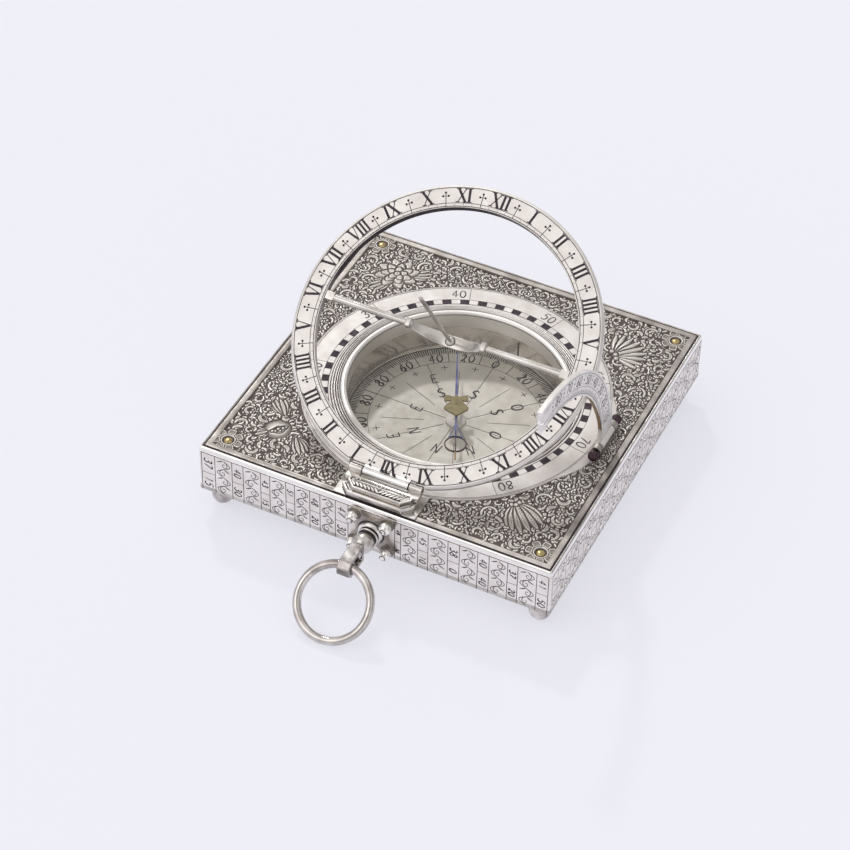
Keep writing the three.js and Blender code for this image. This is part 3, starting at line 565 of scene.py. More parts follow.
def buildBox():
    # Every moulding is a profile of (half side, height) carried round the square: the walls with a groove
    # under the edge, the rolled edge and its crest, the slope down to the carving, and the dark gap beside it.
    s = {"corner": 0.45, "low": 1.2, "beadLow": 10.08, "grooveDepth": 0.09, "wall": 1.7, "shelf": 9.6,
         "rim": boxSizes["plateHalf"] - 0.52, "slopeIn": boxSizes["groundHalf"] - 0.06}
    edge, low, wall, top, rim = half, s["beadLow"], half - s["wall"], plateTop, s["rim"]
    walls = [(edge, s["low"]), (edge, low - 0.16), (edge - s["grooveDepth"], low - 0.08), (edge, low),
             (edge - 0.1, low + 0.02), (edge - 0.28, top - 0.4), (edge - 0.75, top - 0.4), (edge - 0.75, s["shelf"]),
             (wall, s["shelf"]), (wall, s["low"])]
    roll = [(edge + 0.004, low), (edge + 0.004, low + 0.25), (edge - 0.055, low + 0.55),
            (edge - 0.195, low + 0.785), (edge - 0.36, top - 0.008), (edge - 0.40, top - 0.1),
            (edge - 0.3, top - 0.5), (edge - 0.2, low)]
    crest = [(edge - 0.355, top - 0.1), (edge - 0.36, top - 0.006), (edge - 0.5, top - 0.024),
             (edge - 0.64, top - 0.14), (edge - 0.72, top - 0.4), (edge - 0.4, top - 0.4)]
    slope = [(rim, top - 0.1), (rim, top + 0.004), (rim - 0.10, top - 0.01), (s["slopeIn"], 10.78),
             (s["slopeIn"], 10.6)]
    gap = [(edge - 0.83, top - 0.2), (edge - 0.71, top - 0.2), (edge - 0.71, top + 0.006),
           (edge - 0.93, top + 0.006), (edge - 0.93, top - 0.2)]
    putPiece("case_walls", squareSwept(walls, s["corner"]), "sideSilver", replaces=("case_frame",), crease=40)
    putPiece("rolled_edge", squareSwept(roll, s["corner"]), "brightSilver", crease=50)
    putPiece("rolled_edge_crest", squareSwept(crest, 0.1), "edgeSilver", crease=50)
    putPiece("border_slope", squareSwept(slope, 0.1, 3), "edgeSilver", slot="dark_silver", crease=20)
    putPiece("gap_shadow", squareSwept(gap, 0.1, 3), "inkAndShade", slot="dark_silver", crease=50)
    dressed("base_plate_skin", "base_plate", "wornSilver", "case", "silver", bevel=0.1)
    dressed("top_plate_skin", "top_plate", "edgeSilver", "case", "dark_silver", bevel=0.05)


buildBox()


def buildFeet():
    # A turned ball (r cos a, r sin a) cut flat below, with a short neck.
    s = {"radius": 2.1, "flat": 0.6, "neck": 1.0, "height": 4.3, "place": 32.7, "neckAngle": 60}
    start = -math.acos(s["flat"] / s["radius"])
    centre = s["radius"] * math.sin(-start) - s["height"]
    angle = np.linspace(start, math.radians(s["neckAngle"]), 26)
    ball = outward(angle) * s["radius"] + [0, centre]
    profile = np.vstack([[(0, -s["height"])], ball, [(s["neck"], ball[-1, 1])], [(s["neck"], 0)], [(0, 0)]])
    for where, sx, sy in corners:
        foot = moved(turned(profile, 48), 0, (sx * s["place"], sy * s["place"], 0))
        putPiece("foot_" + where, foot, "footSilver", replaces=("ball_foot_" + where,))


buildFeet()
print("box and feet ready")


# ---- engraved tables on the four sides ----

def tendril(length, width, seed, stroke, high=0.02):
    # A running scroll: the stem is y = a sin x, with a spiral r = r0 (1 - t)^0.8 inside each bend of it
    # and a small leaf on the outer side where one bend meets the next.
    chance = np.random.default_rng(seed)
    bends = 4
    pitch = length / bends
    x = np.linspace(0, 1, 57)
    wave = 0.44 * width * np.sin(x * bends * math.pi)
    shells = [ribbon(np.column_stack([(x - 0.5) * length, wave]), stroke, 0, high)]
    for k in range(bends):
        side = -1 if k % 2 else 1
        middle = (k - (bends - 1) / 2) * pitch
        t = np.linspace(0, 1, 24)
        a = math.pi - t * chance.uniform(2.1, 2.5) * math.pi
        r = pitch * 0.40 * (1 - t) ** 0.8 + 0.05
        curl = np.column_stack([middle + np.cos(a) * r, side * (np.sin(a) * r * 0.8 + 0.06 * width)])
        shells.append(ribbon(curl, stroke * (1.15 - 0.5 * t), 0, high))
        u = np.linspace(0, 1, 8)
        leaf = np.column_stack([middle - pitch * (0.5 - 0.28 * u), -side * width * (0.06 + 0.40 * u ** 1.4)])
        shells.append(ribbon(leaf, 0.03 + stroke * 1.6 * np.sin(u * math.pi) ** 0.8, 0, high))
    return joinShells(shells)


def buildSideTables():
    # Columns ruled on each side: narrow ones with two figures, wide ones with a tendril between them.
    s = {"rule": 0.14, "topRule": 9.80, "midRule": 4.87, "lowRule": 0.25, "figure": 1.62, "stroke": 0.22,
         "fineStroke": 0.16, "lift": 0.006, "depth": 0.014, "upperRow": 7.35, "lowerRow": 2.6, "scroll": 8.6,
         "scrollStroke": 0.145, "narrow": 2.9, "plateSpan": 4.2, "pairs": (3.55, 2.36)}
    frontRules = [-35.2, -32.4, -28.8, -26.45, -22.8, -20.9, -17.55, -15.75, -12.6, -10.5, -7.35, -4.75,
                  4.75, 5.95, 9.4, 11.45, 15.4, 17.7, 21.3, 23.55, 27.2, 29.2, 32.9, 35.2]
    evenRules = [-35.2, -32.8]
    while evenRules[-1] < 33:
        evenRules += [evenRules[-1] + s["pairs"][0], evenRules[-1] + s["pairs"][0] + s["pairs"][1]]
    evenRules = [x for x in evenRules if x < 34] + [35.2]
    upper = [37, 40, 43, 51, 48, 47, 49, 45, 38, 40, 37, 41, 42, 50, 44, 46, 39, 52]
    lower = [15, 30, 15, 13, 20, 30, 50, 10, 0, 40, 20, 50, 0, 35, 25, 40, 5, 12]
    sides = (("front", (0, -half, 0), (1, 0, 0), frontRules), ("right", (half, 0, 0), (0, 1, 0), evenRules),
             ("back", (0, half, 0), (-1, 0, 0), evenRules), ("left", (-half, 0, 0), (0, -1, 0), evenRules))
    for turn, (side, origin, along, rules) in enumerate(sides):
        high, signs = s["depth"], []
        lines = [ribbon([(rules[0], s["topRule"]), (rules[-1], s["topRule"])], s["rule"] * 1.2, 0, high)]
        lines += [ribbon([(x, s["lowRule"]), (x, s["topRule"])], s["rule"], 0, high) for x in rules]
        for i, (a, b) in enumerate(zip(rules[:-1], rules[1:])):
            middle, span = (a + b) / 2, b - a
            if side == "front" and span > s["plateSpan"]:
                continue
            if span < s["narrow"]:
                lines.append(ribbon([(a, s["midRule"]), (b, s["midRule"])], s["rule"] * 0.8, 0, high))
                size = min(s["figure"], span * 0.62)
                k = (i // 2 + turn * 5) % len(upper)
                for value, z in ((upper[k], s["upperRow"]), (lower[k], s["lowerRow"])):
                    mark = figures(str(value), size, s["stroke" if side == "front" else "fineStroke"], 0.2, high)
                    signs.append(moved(mark, -math.pi / 2, (middle, z, 0)))
            else:
                mark = tendril(s["scroll"], span * 0.84, 40 * turn + i, s["scrollStroke"], high)
                signs.append(moved(mark, -math.pi / 2, (middle, 5.0, 0)))
        outward = np.cross(along, (0, 0, 1))
        base = np.array(origin, float) - outward * (high - s["lift"])
        for name, shells, look in (("rules_", lines, "line"),
                                   ("table_figures_", signs, "inkAndShade" if side == "front" else "line")):
            putPiece(name + side, posed(joinShells(shells), base, along, (0, 0, 1)), look)


buildSideTables()
print("side tables ready")


# ---- carved spandrels ----

carving = {
    "pitch": 0.072, "height": 0.32, "outline": 0.14, "groove": 0.06, "stem": 0.27, "span": 33.86, "screw": 31.7,
    "screwHole": 1.0, "from": 29.75, "to": 33.65, "openFrom": 29.62, "openTo": 33.72, "cutFrom": 29.45,
    "middle": 35.4, "horn": (26.6, 31.6), "hornRadius": 2.0, "rosetteReach": 3.05, "petals": 7, "petalAt": 2.18,
    "collarAt": 1.30,
    "stations": (20.8, 17.6, 14.5, 11.5, 8.7, 6.0, 3.4, 0.6), "narrowest": (0.26, 0.43), "lift": 0.012,
    "quarters": (("back_right", 1, 1, 3, "shell"), ("back_left", -1, 1, 11, "rose"),
                 ("front_left", -1, -1, 5, "fruit"), ("front_right", 1, -1, 17, "palmette")),
}


def strokeInto(sheet, path, width, high=1.0, hollow=0.25):
    # Lays a band over what is there: a narrow groove round it, then a rounded section, sunk in the middle.
    field, gridX, gridY = sheet
    path = np.asarray(path, float)
    width = np.broadcast_to(np.asarray(width, float), len(path))
    reach = width.max() + carving["outline"]
    low, top = path.min(0) - reach, path.max(0) + reach
    rows = np.nonzero((gridY[:, 0] >= low[1]) & (gridY[:, 0] <= top[1]))[0]
    cols = np.nonzero((gridX[0] >= low[0]) & (gridX[0] <= top[0]))[0]
    if not len(rows) or not len(cols):
        return
    box = np.s_[rows[0]:rows[-1] + 1, cols[0]:cols[-1] + 1]
    away = np.hypot(gridX[box][..., None] - path[:, 0], gridY[box][..., None] - path[:, 1])
    share, beyond = (away / width).min(-1), (away - width).min(-1)
    section = np.clip(1 - share ** 2, 0, 1) ** 0.7 * (1 - hollow * np.exp(-(share / 0.36) ** 2))
    under = field[box]
    under = np.where(beyond < carving["outline"], np.minimum(under, carving["groove"]), under)
    field[box] = np.where(share < 1, section * high, under)


def dotInto(sheet, centre, radius, high=1.0, hollow=0.25):
    # A round button, raised or hollow.
    strokeInto(sheet, [centre, centre], radius, high, hollow)


def leafInto(sheet, base, tip, bend, width, high=0.9, hollow=0.38):
    # A pointed leaf: its half width swells and closes along a bent middle line, with a sunk vein.
    base, tip = np.asarray(base, float), np.asarray(tip, float)
    along = tip - base
    side = np.array([-along[1], along[0]])
    t = np.linspace(0, 1, 16)[:, None]
    path = base + along * t + side * bend * np.sin(t * math.pi)
    swell = np.sin(np.clip(t[:, 0] * 0.92 + 0.08, 0, 1) * math.pi) ** 0.7
    strokeInto(sheet, path, width * swell + 0.04, high, hollow)


def fromEdges(count):
    # Places from -1 to 1, the outer ones first, so that the middle one lies on top.
    return sorted(np.linspace(-1, 1, count), key=lambda p: -abs(p))


def fanInto(sheet, base, heading, spread, reach, count, width, droop=0.12):
    # Narrow leaves spread from one point, the outer ones shorter, drawn from the edges to the middle.
    for p in fromEdges(count):
        a = heading + p * spread
        length = reach * (1 - 0.28 * p * p)
        leafInto(sheet, base, base + length * outward(a), droop * p, width)


def sprayInto(sheet, base, heading, reach, way, count=3, spread=0.95):
    # Curved leaves from one foot, all bent the same way like a breaking wave, the middle one longest.
    for p in fromEdges(count):
        a = heading + p * spread * 0.5
        tip = base + reach * (1 - 0.30 * abs(p)) * outward(a)
        leafInto(sheet, base, tip, 0.24 * way, reach * 0.205 + 0.05, high=0.95, hollow=0.3)


def leavesAlong(sheet, path, centre, way, places, sizes, foot, reach, bend, width):
    # Curled leaves on the outer side of a curve round its centre, at the given shares of its length.
    for at, size in zip(places, sizes):
        spot = path[int(at * (len(path) - 1))]
        out = (spot - centre) / max(np.linalg.norm(spot - centre), 1e-6)
        across = np.array([-out[1], out[0]]) * way
        leafInto(sheet, spot - out * foot, spot + out * size * 0.62 + across * size * reach, bend * way, size * width)


def scrollInto(sheet, centre, radius, start, way, lobes):
    # A spiral stem closing on its centre, with curled leaves on its outer side.
    t = np.linspace(0, 1, 54)
    angle = start + way * t * 2.3 * math.pi
    r = radius * (1 - t) ** 0.8 * 0.78 + radius * 0.10
    path = centre + outward(angle) * r[:, None]
    places = np.linspace(0.04, 0.46, lobes)
    leavesAlong(sheet, path, centre, way, places, radius * (0.42 - 0.34 * places),
                foot=radius * 0.02, reach=0.95, bend=0.30, width=0.40)
    strokeInto(sheet, path, radius * (0.145 - 0.05 * t) + 0.05)
    for at, size in ((0.50, 0.34), (0.60, 0.26)):
        spot = path[int(at * (len(path) - 1))]
        inward = centre - spot
        across = np.array([-inward[1], inward[0]]) * -way
        leafInto(sheet, spot, spot + inward * 0.35 + across * 0.5, 0.25 * way, radius * size * 0.35)
    dotInto(sheet, path[-1], radius * 0.19, hollow=0.45)


def acanthusInto(sheet, centre, radius, start, way):
    # A thick crescent stem tapering to a curl, with overlapping leaves along its outer side.
    t = np.linspace(0, 1, 24)
    angle = start + way * t * 1.35 * math.pi
    path = centre + outward(angle) * (radius * (0.66 - 0.34 * t))[:, None]
    places = np.linspace(0.0, 0.72, 5)
    leavesAlong(sheet, path, centre, way, places, radius * (0.52 - 0.26 * places),
                foot=0, reach=1.0, bend=-0.25, width=0.42)
    strokeInto(sheet, path, radius * (0.06 + 0.15 * np.sin(math.pi * (0.12 + 0.80 * t))), hollow=0.42)
    dotInto(sheet, path[-1], radius * 0.20, hollow=0.5)


def flowerInto(sheet, centre, radius, petals, start):
    # Round petals about a raised eye.
    for k in range(petals):
        out = outward(start + tau * k / petals)
        leafInto(sheet, centre + out * radius * 0.12, centre + out * radius * 0.98, 0.0,
                 radius * 1.5 / petals, high=0.92, hollow=0.5)
    dotInto(sheet, centre, radius * 0.25, hollow=0.6)


def rosetteInto(sheet, centre):
    # Seven square-ended petals round each screw, each a raised frame, about a plain collar.
    field, gridX, gridY = sheet
    d = np.hypot(gridX - centre[0], gridY - centre[1])
    a = np.arctan2(gridY - centre[1], gridX - centre[0])
    near = d < carving["rosetteReach"]
    lobe = ((a / tau * carving["petals"] + 0.1) % 1 - 0.5) * tau / carving["petals"] * d
    u = np.abs(lobe) - 0.46
    v = np.abs(d - carving["petalAt"]) - 0.32
    edge = np.hypot(np.clip(u, 0, None), np.clip(v, 0, None)) - 0.33
    petal = np.where(edge < 0, 0.42 + 0.58 * np.clip(1 - np.abs(edge + 0.13) / 0.15, 0, 1), 0)
    collar = np.clip(1 - np.abs(d - carving["collarAt"]) / 0.22, 0, 1) ** 0.5
    field[near] = np.maximum(collar, petal)[near]


def motifInto(sheet, name):
    # The large form in the widest part: w runs along the scale ring, v outwards along the diagonal.

    def at(w, v):
        # The place ((m + v - w) / root 2, (m + v + w) / root 2), m being the middle's distance.
        return np.array([carving["middle"] + v - w, carving["middle"] + v + w]) / math.sqrt(2)

    heading = math.pi / 4
    if name == "fruit":
        for side in (-1, 1):
            fanInto(sheet, at(3.4 * side, -2.6), heading + side * math.radians(88), 0.5,
                    reach=4.6, count=6, width=0.44)
            acanthusInto(sheet, at(3.9 * side, 1.2), 2.2, heading + math.pi * (1 + 0.15 * side), side)
            leafInto(sheet, at(0.5 * side, -3.3), at(3.6 * side, 0.6), -0.30 * side, 0.75, high=1.0, hollow=0.3)
        dotInto(sheet, at(0, -0.2), 2.5, hollow=0.0)
        strokeInto(sheet, curveThrough([at(-0.1, -2.0), at(0.35, -0.3), at(0.1, 1.4)], 6),
                   np.interp(np.linspace(0, 1, 13), (0, 0.5, 1), (0.2, 0.95, 0.2)), high=0.7, hollow=0.0)
        for w, v in ((0.1, -1.1), (0.5, -0.4), (0.0, -0.2), (0.4, 0.5), (0.15, 1.0)):
            dotInto(sheet, at(w, v), 0.34, hollow=0.2)
        fanInto(sheet, at(0, 2.0), heading, 0.75, reach=2.3, count=5, width=0.34)
    elif name == "shell":
        for side in (-1, 1):
            acanthusInto(sheet, at(4.4 * side, -1.8), 2.5, heading + math.pi * 0.5 * side, -side)
            scrollInto(sheet, at(2.0 * side, -3.4), 1.35, heading + math.pi * 0.45 * side, side, 3)
        for p in fromEdges(9):
            a = heading + p * 1.12
            tip = at(0, -3.2) + (6.9 - 0.9 * p * p) * outward(a)
            leafInto(sheet, at(0, -3.2), tip, 0.05 * p, 0.62, high=1.0, hollow=0.12)
            dotInto(sheet, tip, 0.5, hollow=0.4)
        strokeInto(sheet, [at(-1.1, -3.4), at(0, -3.1), at(1.1, -3.4)], 0.55, hollow=0.3)
    elif name == "rose":
        for side in (-1, 1):
            fanInto(sheet, at(2.4 * side, -1.6), heading + side * math.radians(100), 0.5,
                    reach=4.4, count=5, width=0.42)
        for radius, petals, start in ((4.3, 8, 0.2), (3.0, 7, 0.55), (1.8, 5, 0.1)):
            for k in range(petals):
                out = outward(start + tau * k / petals)
                leafInto(sheet, at(0, 0) + out * radius * 0.3, at(0, 0) + out * radius, 0.06,
                         radius * 2.1 / petals, high=0.95, hollow=0.2)
        dotInto(sheet, at(0, 0), 0.7, hollow=0.5)
    else:
        for side in (-1, 1):
            scrollInto(sheet, at(5.1 * side, -2.7), 1.9, heading + math.pi * 0.55 * side, side, 5)
            acanthusInto(sheet, at(3.3 * side, 0.6), 2.4, heading + math.pi * (1 + 0.1 * side), side)
            acanthusInto(sheet, at(2.0 * side, -3.2), 1.9, heading + math.pi * (1 + 0.2 * side), side)
        fanInto(sheet, at(0, -3.4), heading, 0.62, reach=8.3, count=7, width=0.62)
        strokeInto(sheet, [at(-0.8, -3.5), at(0, -3.2), at(0.8, -3.5)], 0.5, hollow=0.3)


def armInto(sheet, chance, swap):
    # A waving stem along the narrow part, with a scroll or a curled leaf in each bend.

    def at(x, share):
        # At x, the given share of the way from the scale ring's circle to the border; swap mirrors it.
        low = math.sqrt(carving["from"] ** 2 - x * x) + 0.1
        p = (x, low + (carving["to"] - low) * share)
        return np.array(p[::-1] if swap else p)

    stations = np.array(carving["stations"]) + chance.uniform(-0.25, 0.25, len(carving["stations"]))
    flip = 1 if chance.random() < 0.5 else 0
    stem = []
    for i, x in enumerate(stations):
        band = carving["to"] - math.sqrt(carving["from"] ** 2 - x * x)
        low = (i + flip) % 2 == 0
        stem.append(at(x, 0.22 if low else 0.78))
        radius = min(0.29 * band + 0.32, 2.15)
        way = (1 if low else -1) * (-1 if swap else 1)
        centre = at(x, 0.64 if low else 0.36)
        start = math.atan2(*(stem[-1] - centre)[::-1])
        if i % 3 == 1:
            acanthusInto(sheet, centre, radius, start, way)
        else:
            scrollInto(sheet, centre, radius, start, way, 5)
    path = curveThrough(stem, 8)
    strokeInto(sheet, path, np.linspace(carving["stem"], 0.15, len(path)), hollow=0.3)


def openGround(field, gridX, gridY):
    # How far each point is from the raised work and the borders: steps of one and root two cells.
    step = gridX[0, 1] - gridX[0, 0]
    free = np.where(field > 0.02, 0.0, 4.0)
    borders = np.minimum(np.hypot(gridX, gridY) - carving["openFrom"], carving["openTo"] - np.maximum(gridX, gridY))
    free = np.minimum(free, np.clip(borders, 0, None))
    for _ in range(34):
        near = np.pad(free, 1, mode="edge")
        for dy, dx in ((0, 1), (1, 0), (1, 2), (2, 1)):
            free = np.minimum(free, near[dy:dy + len(free), dx:dx + len(free)] + step)
        for dy, dx in ((0, 0), (0, 2), (2, 0), (2, 2)):
            free = np.minimum(free, near[dy:dy + len(free), dx:dx + len(free)] + step * 1.414)
    return free


def fillGround(sheet, chance):
    # Flowers, curled leaves and berries in what is left of the ground, the widest gaps first; the second
    # pass measures the ground anew and leaves the small gaps dark.
    field, x, y = (layer[::2, ::2] for layer in sheet)
    cell = x[0, 1] - x[0, 0]
    for passing, narrowest in enumerate(carving["narrowest"]):
        free = openGround(field, x, y)
        for count in range(500):
            at = np.unravel_index(free.argmax(), free.shape)
            r = free[at] - 0.06
            if r < narrowest:
                break
            centre = np.array([x[at], y[at]])
            headings = np.arange(8) * tau / 8
            spots = [(int(np.clip(at[0] + 1.9 * r * math.sin(h) / cell, 0, len(x) - 1)),
                      int(np.clip(at[1] + 1.9 * r * math.cos(h) / cell, 0, len(x) - 1))) for h in headings]
            heading = headings[int(np.argmax([free[p] for p in spots]))] + chance.uniform(-0.3, 0.3)
            out = outward(heading)
            way = 1 if count % 2 else -1
            if r > 1.0 and not passing:
                acanthusInto(sheet, centre, r, heading, way)
            elif r > 0.55 and count % 4 == 0:
                flowerInto(sheet, centre, r * 1.05, 5 + count % 2, heading)
            elif r > 0.42:
                sprayInto(sheet, centre - out * r, heading, r * 2.2, way, 4 if r > 0.8 else 3)
                free = np.minimum(free, np.hypot(x - centre[0] - out[0] * r * 0.7, y - centre[1] - out[1] * r * 0.7)
                                  - r * 0.7)
            elif count % 5 == 0:
                for k in range(3):
                    dotInto(sheet, centre + 0.5 * r * outward(heading + k * tau / 3), r * 0.44, high=0.9, hollow=0.4)
            else:
                leafInto(sheet, centre - out * r * 0.95, centre + out * r * 1.4, 0.22 * way, r * 0.62)
                free = np.minimum(free, np.hypot(x - centre[0] - out[0] * r, y - centre[1] - out[1] * r) - r * 0.5)
            free = np.minimum(free, np.hypot(x - centre[0], y - centre[1]) - r * 0.92)


def quarterRelief(seed, motif):
    # The height of one quarter of the carving over a square grid, from 0 for the ground to 1.
    chance = np.random.default_rng(seed)
    axis = np.arange(0, carving["span"], carving["pitch"])
    gridX, gridY = np.meshgrid(axis, axis)
    field = np.zeros_like(gridX)
    sheet = field, gridX, gridY
    screw = np.array([carving["screw"]] * 2)
    for swap in (False, True):
        armInto(sheet, chance, swap)
        horn = np.array(carving["horn"])[::-1 if swap else 1]
        acanthusInto(sheet, horn, carving["hornRadius"], chance.uniform(0, tau), -1 if swap else 1)
    motifInto(sheet, motif)
    rosetteInto(sheet, screw)
    fillGround(sheet, chance)
    rosetteInto(sheet, screw)
    field[np.hypot(gridX - screw[0], gridY - screw[1]) < carving["screwHole"]] = 0
    return gridX, gridY, field


def rubbedTone(field):
    # Brightness of the metal: high parts and their edges are rubbed bright, hollows stay dull:
    # base + share h + edge (h - h smoothed), and ground where nothing is carved.
    s = {"ground": 0.06, "base": 0.26, "share": 0.42, "edge": 1.0, "bare": 0.02}
    soft = field
    for axis in (0, 1):
        soft = sum(np.roll(soft, k, axis) for k in range(-4, 5)) / 9
    worn = s["base"] + s["share"] * field + s["edge"] * (field - soft)
    return np.clip(np.where(field > s["bare"], worn, s["ground"]), 0, 1)


def buildCarving():
    # A sheet over each quarter of the sunk ground; faces inside the scale ring are left out.
    for name, sx, sy, seed, motif in carving["quarters"]:
        gridX, gridY, field = quarterRelief(seed, motif)
        n = gridX.shape[0]
        level = boxSizes["ground"] + carving["lift"] + field * carving["height"]
        points = np.stack([sx * gridX, sy * gridY, level], -1).reshape(-1, 3)
        faces = gridFaces(n, n, False, False)
        if sx * sy < 0:
            faces = faces[:, ::-1]
        d = np.hypot(gridX, gridY).ravel()
        faces = faces[d[faces].max(1) > carving["cutFrom"]]
        used = np.unique(faces)
        renumber = np.zeros(n * n, np.int64)
        renumber[used] = np.arange(len(used))
        piece = putPiece("carving_" + name, (points[used], renumber[faces]), "carved", "case",
                         "dark_silver", crease=180, weld=False)
        mark = piece.data.attributes.new("relief", "FLOAT", "POINT")
        mark.data.foreach_set("value", rubbedTone(field).ravel()[used].astype(np.float32))


buildCarving()
print("carving ready")


# ---- screws, scale ring, bezel ----

def buildScrews():
    # A domed head (r cos a, h sin a) over its shank, in a thin ring of painted shadow.
    s = {"place": 31.7, "radius": 0.84, "crown": 0.33, "shank": 0.5, "deep": -4.0, "gap": (1.06, 0.2)}
    t = np.linspace(0, 1, 12)
    dome = outward(t * math.pi / 2) * [s["radius"], s["crown"]]
    profile = np.vstack([[(0, s["deep"])], [(s["shank"], s["deep"])], [(s["shank"], 0)], [(s["radius"], 0)],
                         dome[1:-1], [(0, s["crown"])]])
    rings = [moved(ringLine(*s["gap"], 0.02, 32), 0, (sx * s["place"], sy * s["place"], boxSizes["ground"] + 0.01))
             for sx in (-1, 1) for sy in (-1, 1)]
    putPiece("screw_shadows", joinShells(rings), "inkAndShade", slot="dark_silver")
    for where, sx, sy in corners:
        head = moved(turned(profile, 36), 0, (sx * s["place"], sy * s["place"], boxSizes["ground"]))
        putPiece("screw_" + where, head, "brass", slot="brass", replaces=("corner_screw_" + where,))


buildScrews()


def buildScaleRing():
    # A flat ring whose outer radius runs out to a rounded ear under the arc's hinge: where the ear's circle
    # lies further out, the radius is c + sqrt(e^2 - |p|^2 + c^2), c being the ear's place p along the ray.
    s = {"inner": 23.95, "outer": 29.6, "low": 10.3, "ear": (12.0, -0.5), "earRadius": 19.4, "earFrom": 21.7,
         "rimLines": ((29.12, 0.10), (29.38, 0.06), (25.7, 0.08), (24.36, 0.14)), "bandIn": 24.42, "bandOut": 25.7,
         "cells": 90, "figureRadius": 27.3, "figure": 1.95, "stroke": 0.21, "lineOut": 29.2, "high": 0.02, "turn": 20}
    angle = np.linspace(0, tau, 360, endpoint=False)
    ear, high, middle = np.array(s["ear"]), s["high"], (s["bandIn"] + s["bandOut"]) / 2
    along = np.cos(angle) * ear[0] + np.sin(angle) * ear[1]
    reach = along + np.sqrt(np.maximum(s["earRadius"] ** 2 - (ear ** 2).sum() + along ** 2, 0))
    outer = np.where((reach > s["outer"]) & (np.cos(angle) * reach > s["earFrom"]), reach, s["outer"])
    rows = ((0, 0, s["low"]), (1, 0, s["low"]), (1, 0, plateTop - 0.16), (1, -0.05, plateTop - 0.05),
            (1, -0.16, plateTop), (0, 0, plateTop))
    radii = [(outer if edge else np.full(360, s["inner"])) + inset for edge, inset, _ in rows]
    points = np.stack([np.stack([r * np.cos(angle), r * np.sin(angle), z + 0 * angle], -1)
                       for r, (_, _, z) in zip(radii, rows)])
    putPiece("scale_ring_plate", (points.reshape(-1, 3), gridFaces(6, 360, True, True)), "plateSilver",
             replaces=("scale_ring",), crease=28)
    lines = [ringLine(r, w, high) for r, w in s["rimLines"]]
    first = 90 + s["turn"]
    lines.append(spokes(first - 40 * np.arange(9), s["bandOut"], s["lineOut"], 0.10, high))
    lines.append(spokes(np.arange(90) * 4 + 2.0, s["bandIn"], s["bandOut"], 0.05, high * 1.2))
    inlay("scale_lines", lines, plateTop - 0.004, "line")
    step = 360 / s["cells"]
    spans = [np.radians(np.linspace(first + step * k, first + step * k + step, 4)) for k in range(0, s["cells"], 2)]
    cells = [ribbon(outward(span) * middle, s["bandOut"] - s["bandIn"], 0, high * 0.8) for span in spans]
    inlay("scale_checks", cells, plateTop - 0.004)
    signs = [onDial(figures(value, s["figure"], s["stroke"], 0.05, high), 40 * k - 4.6 - s["turn"], s["figureRadius"])
             for k, value in enumerate(("40", "50", "60", "70", "80", "90", "10", "20", "30"))]
    inlay("scale_figures", signs, plateTop - 0.004)


buildScaleRing()


def buildBezel():
    # Four turned beads stepping up to the plain bright lip that holds the glass, with painted shade in each groove.
    # Each bead is (first, last, low, crown) in shares of the width and height: low + (crown - low) sin^0.7.
    s = {"inner": 20.8, "outer": 23.85, "height": 0.75, "tube": 21.5, "glassTop": 8.25, "low": 10.3,
         "beads": ((0.985, 0.87, 0.10, 0.36), (0.82, 0.71, 0.22, 0.54), (0.66, 0.57, 0.36, 0.70),
                   (0.52, 0.44, 0.52, 0.84), (0.395, 0.03, 0.64, 1.0))}
    width = s["outer"] - s["inner"]
    t = np.linspace(0, 1, 9)
    swell = np.sin(math.pi * (0.04 + 0.92 * t)) ** 0.7
    ridges = [(1.0, 0.0)]
    for first, last, low, crown in s["beads"]:
        ridges += list(zip(first + (last - first) * t, low + (crown - low) * swell))
    ends = ridges[9:-1:9]
    starts = ridges[10::9]
    ridges = [(s["inner"] + width * a, plateTop + s["height"] * b) for a, b in ridges + [(0.0, 0.5)]]
    profile = [(s["tube"], s["glassTop"] + 0.1), (s["tube"], s["low"]), (s["outer"], s["low"])] + ridges \
        + [(s["inner"], s["glassTop"] + 0.1)]
    grooveShades = []
    for (a, low), (b, high) in zip(ends, starts):
        outer, inner = s["inner"] + width * (a + 0.016), s["inner"] + width * (b - 0.012)
        low, high = plateTop + s["height"] * (low + 0.05), plateTop + s["height"] * (high + 0.02)
        grooveShades.append(turned([(outer, low - 0.1), (outer, low), (inner, high), (inner, high - 0.1)], 256, True))
    # painted shade under the lip's edge and round the bezel's foot
    rim, lip = s["inner"] - 0.03, plateTop + 0.5 * s["height"]
    grooveShades.append(turned([(rim, lip - 0.16), (rim + 0.2, lip - 0.16), (rim + 0.2, lip + 0.095),
                           (rim + 0.07, lip + 0.095)], 256, True))
    grooveShades.append(washer(s["outer"] - 0.05, s["outer"] + 0.14, plateTop - 0.1, plateTop + 0.012, 256))
    putPiece("bezel_groove_shade", joinShells(grooveShades), "line")
    putPiece("bezel_turned", turned(profile, 256, True), "turnedSilver", replaces=("bezel",), crease=50)


buildBezel()
print("scale ring and bezel ready")


# ---- compass ----

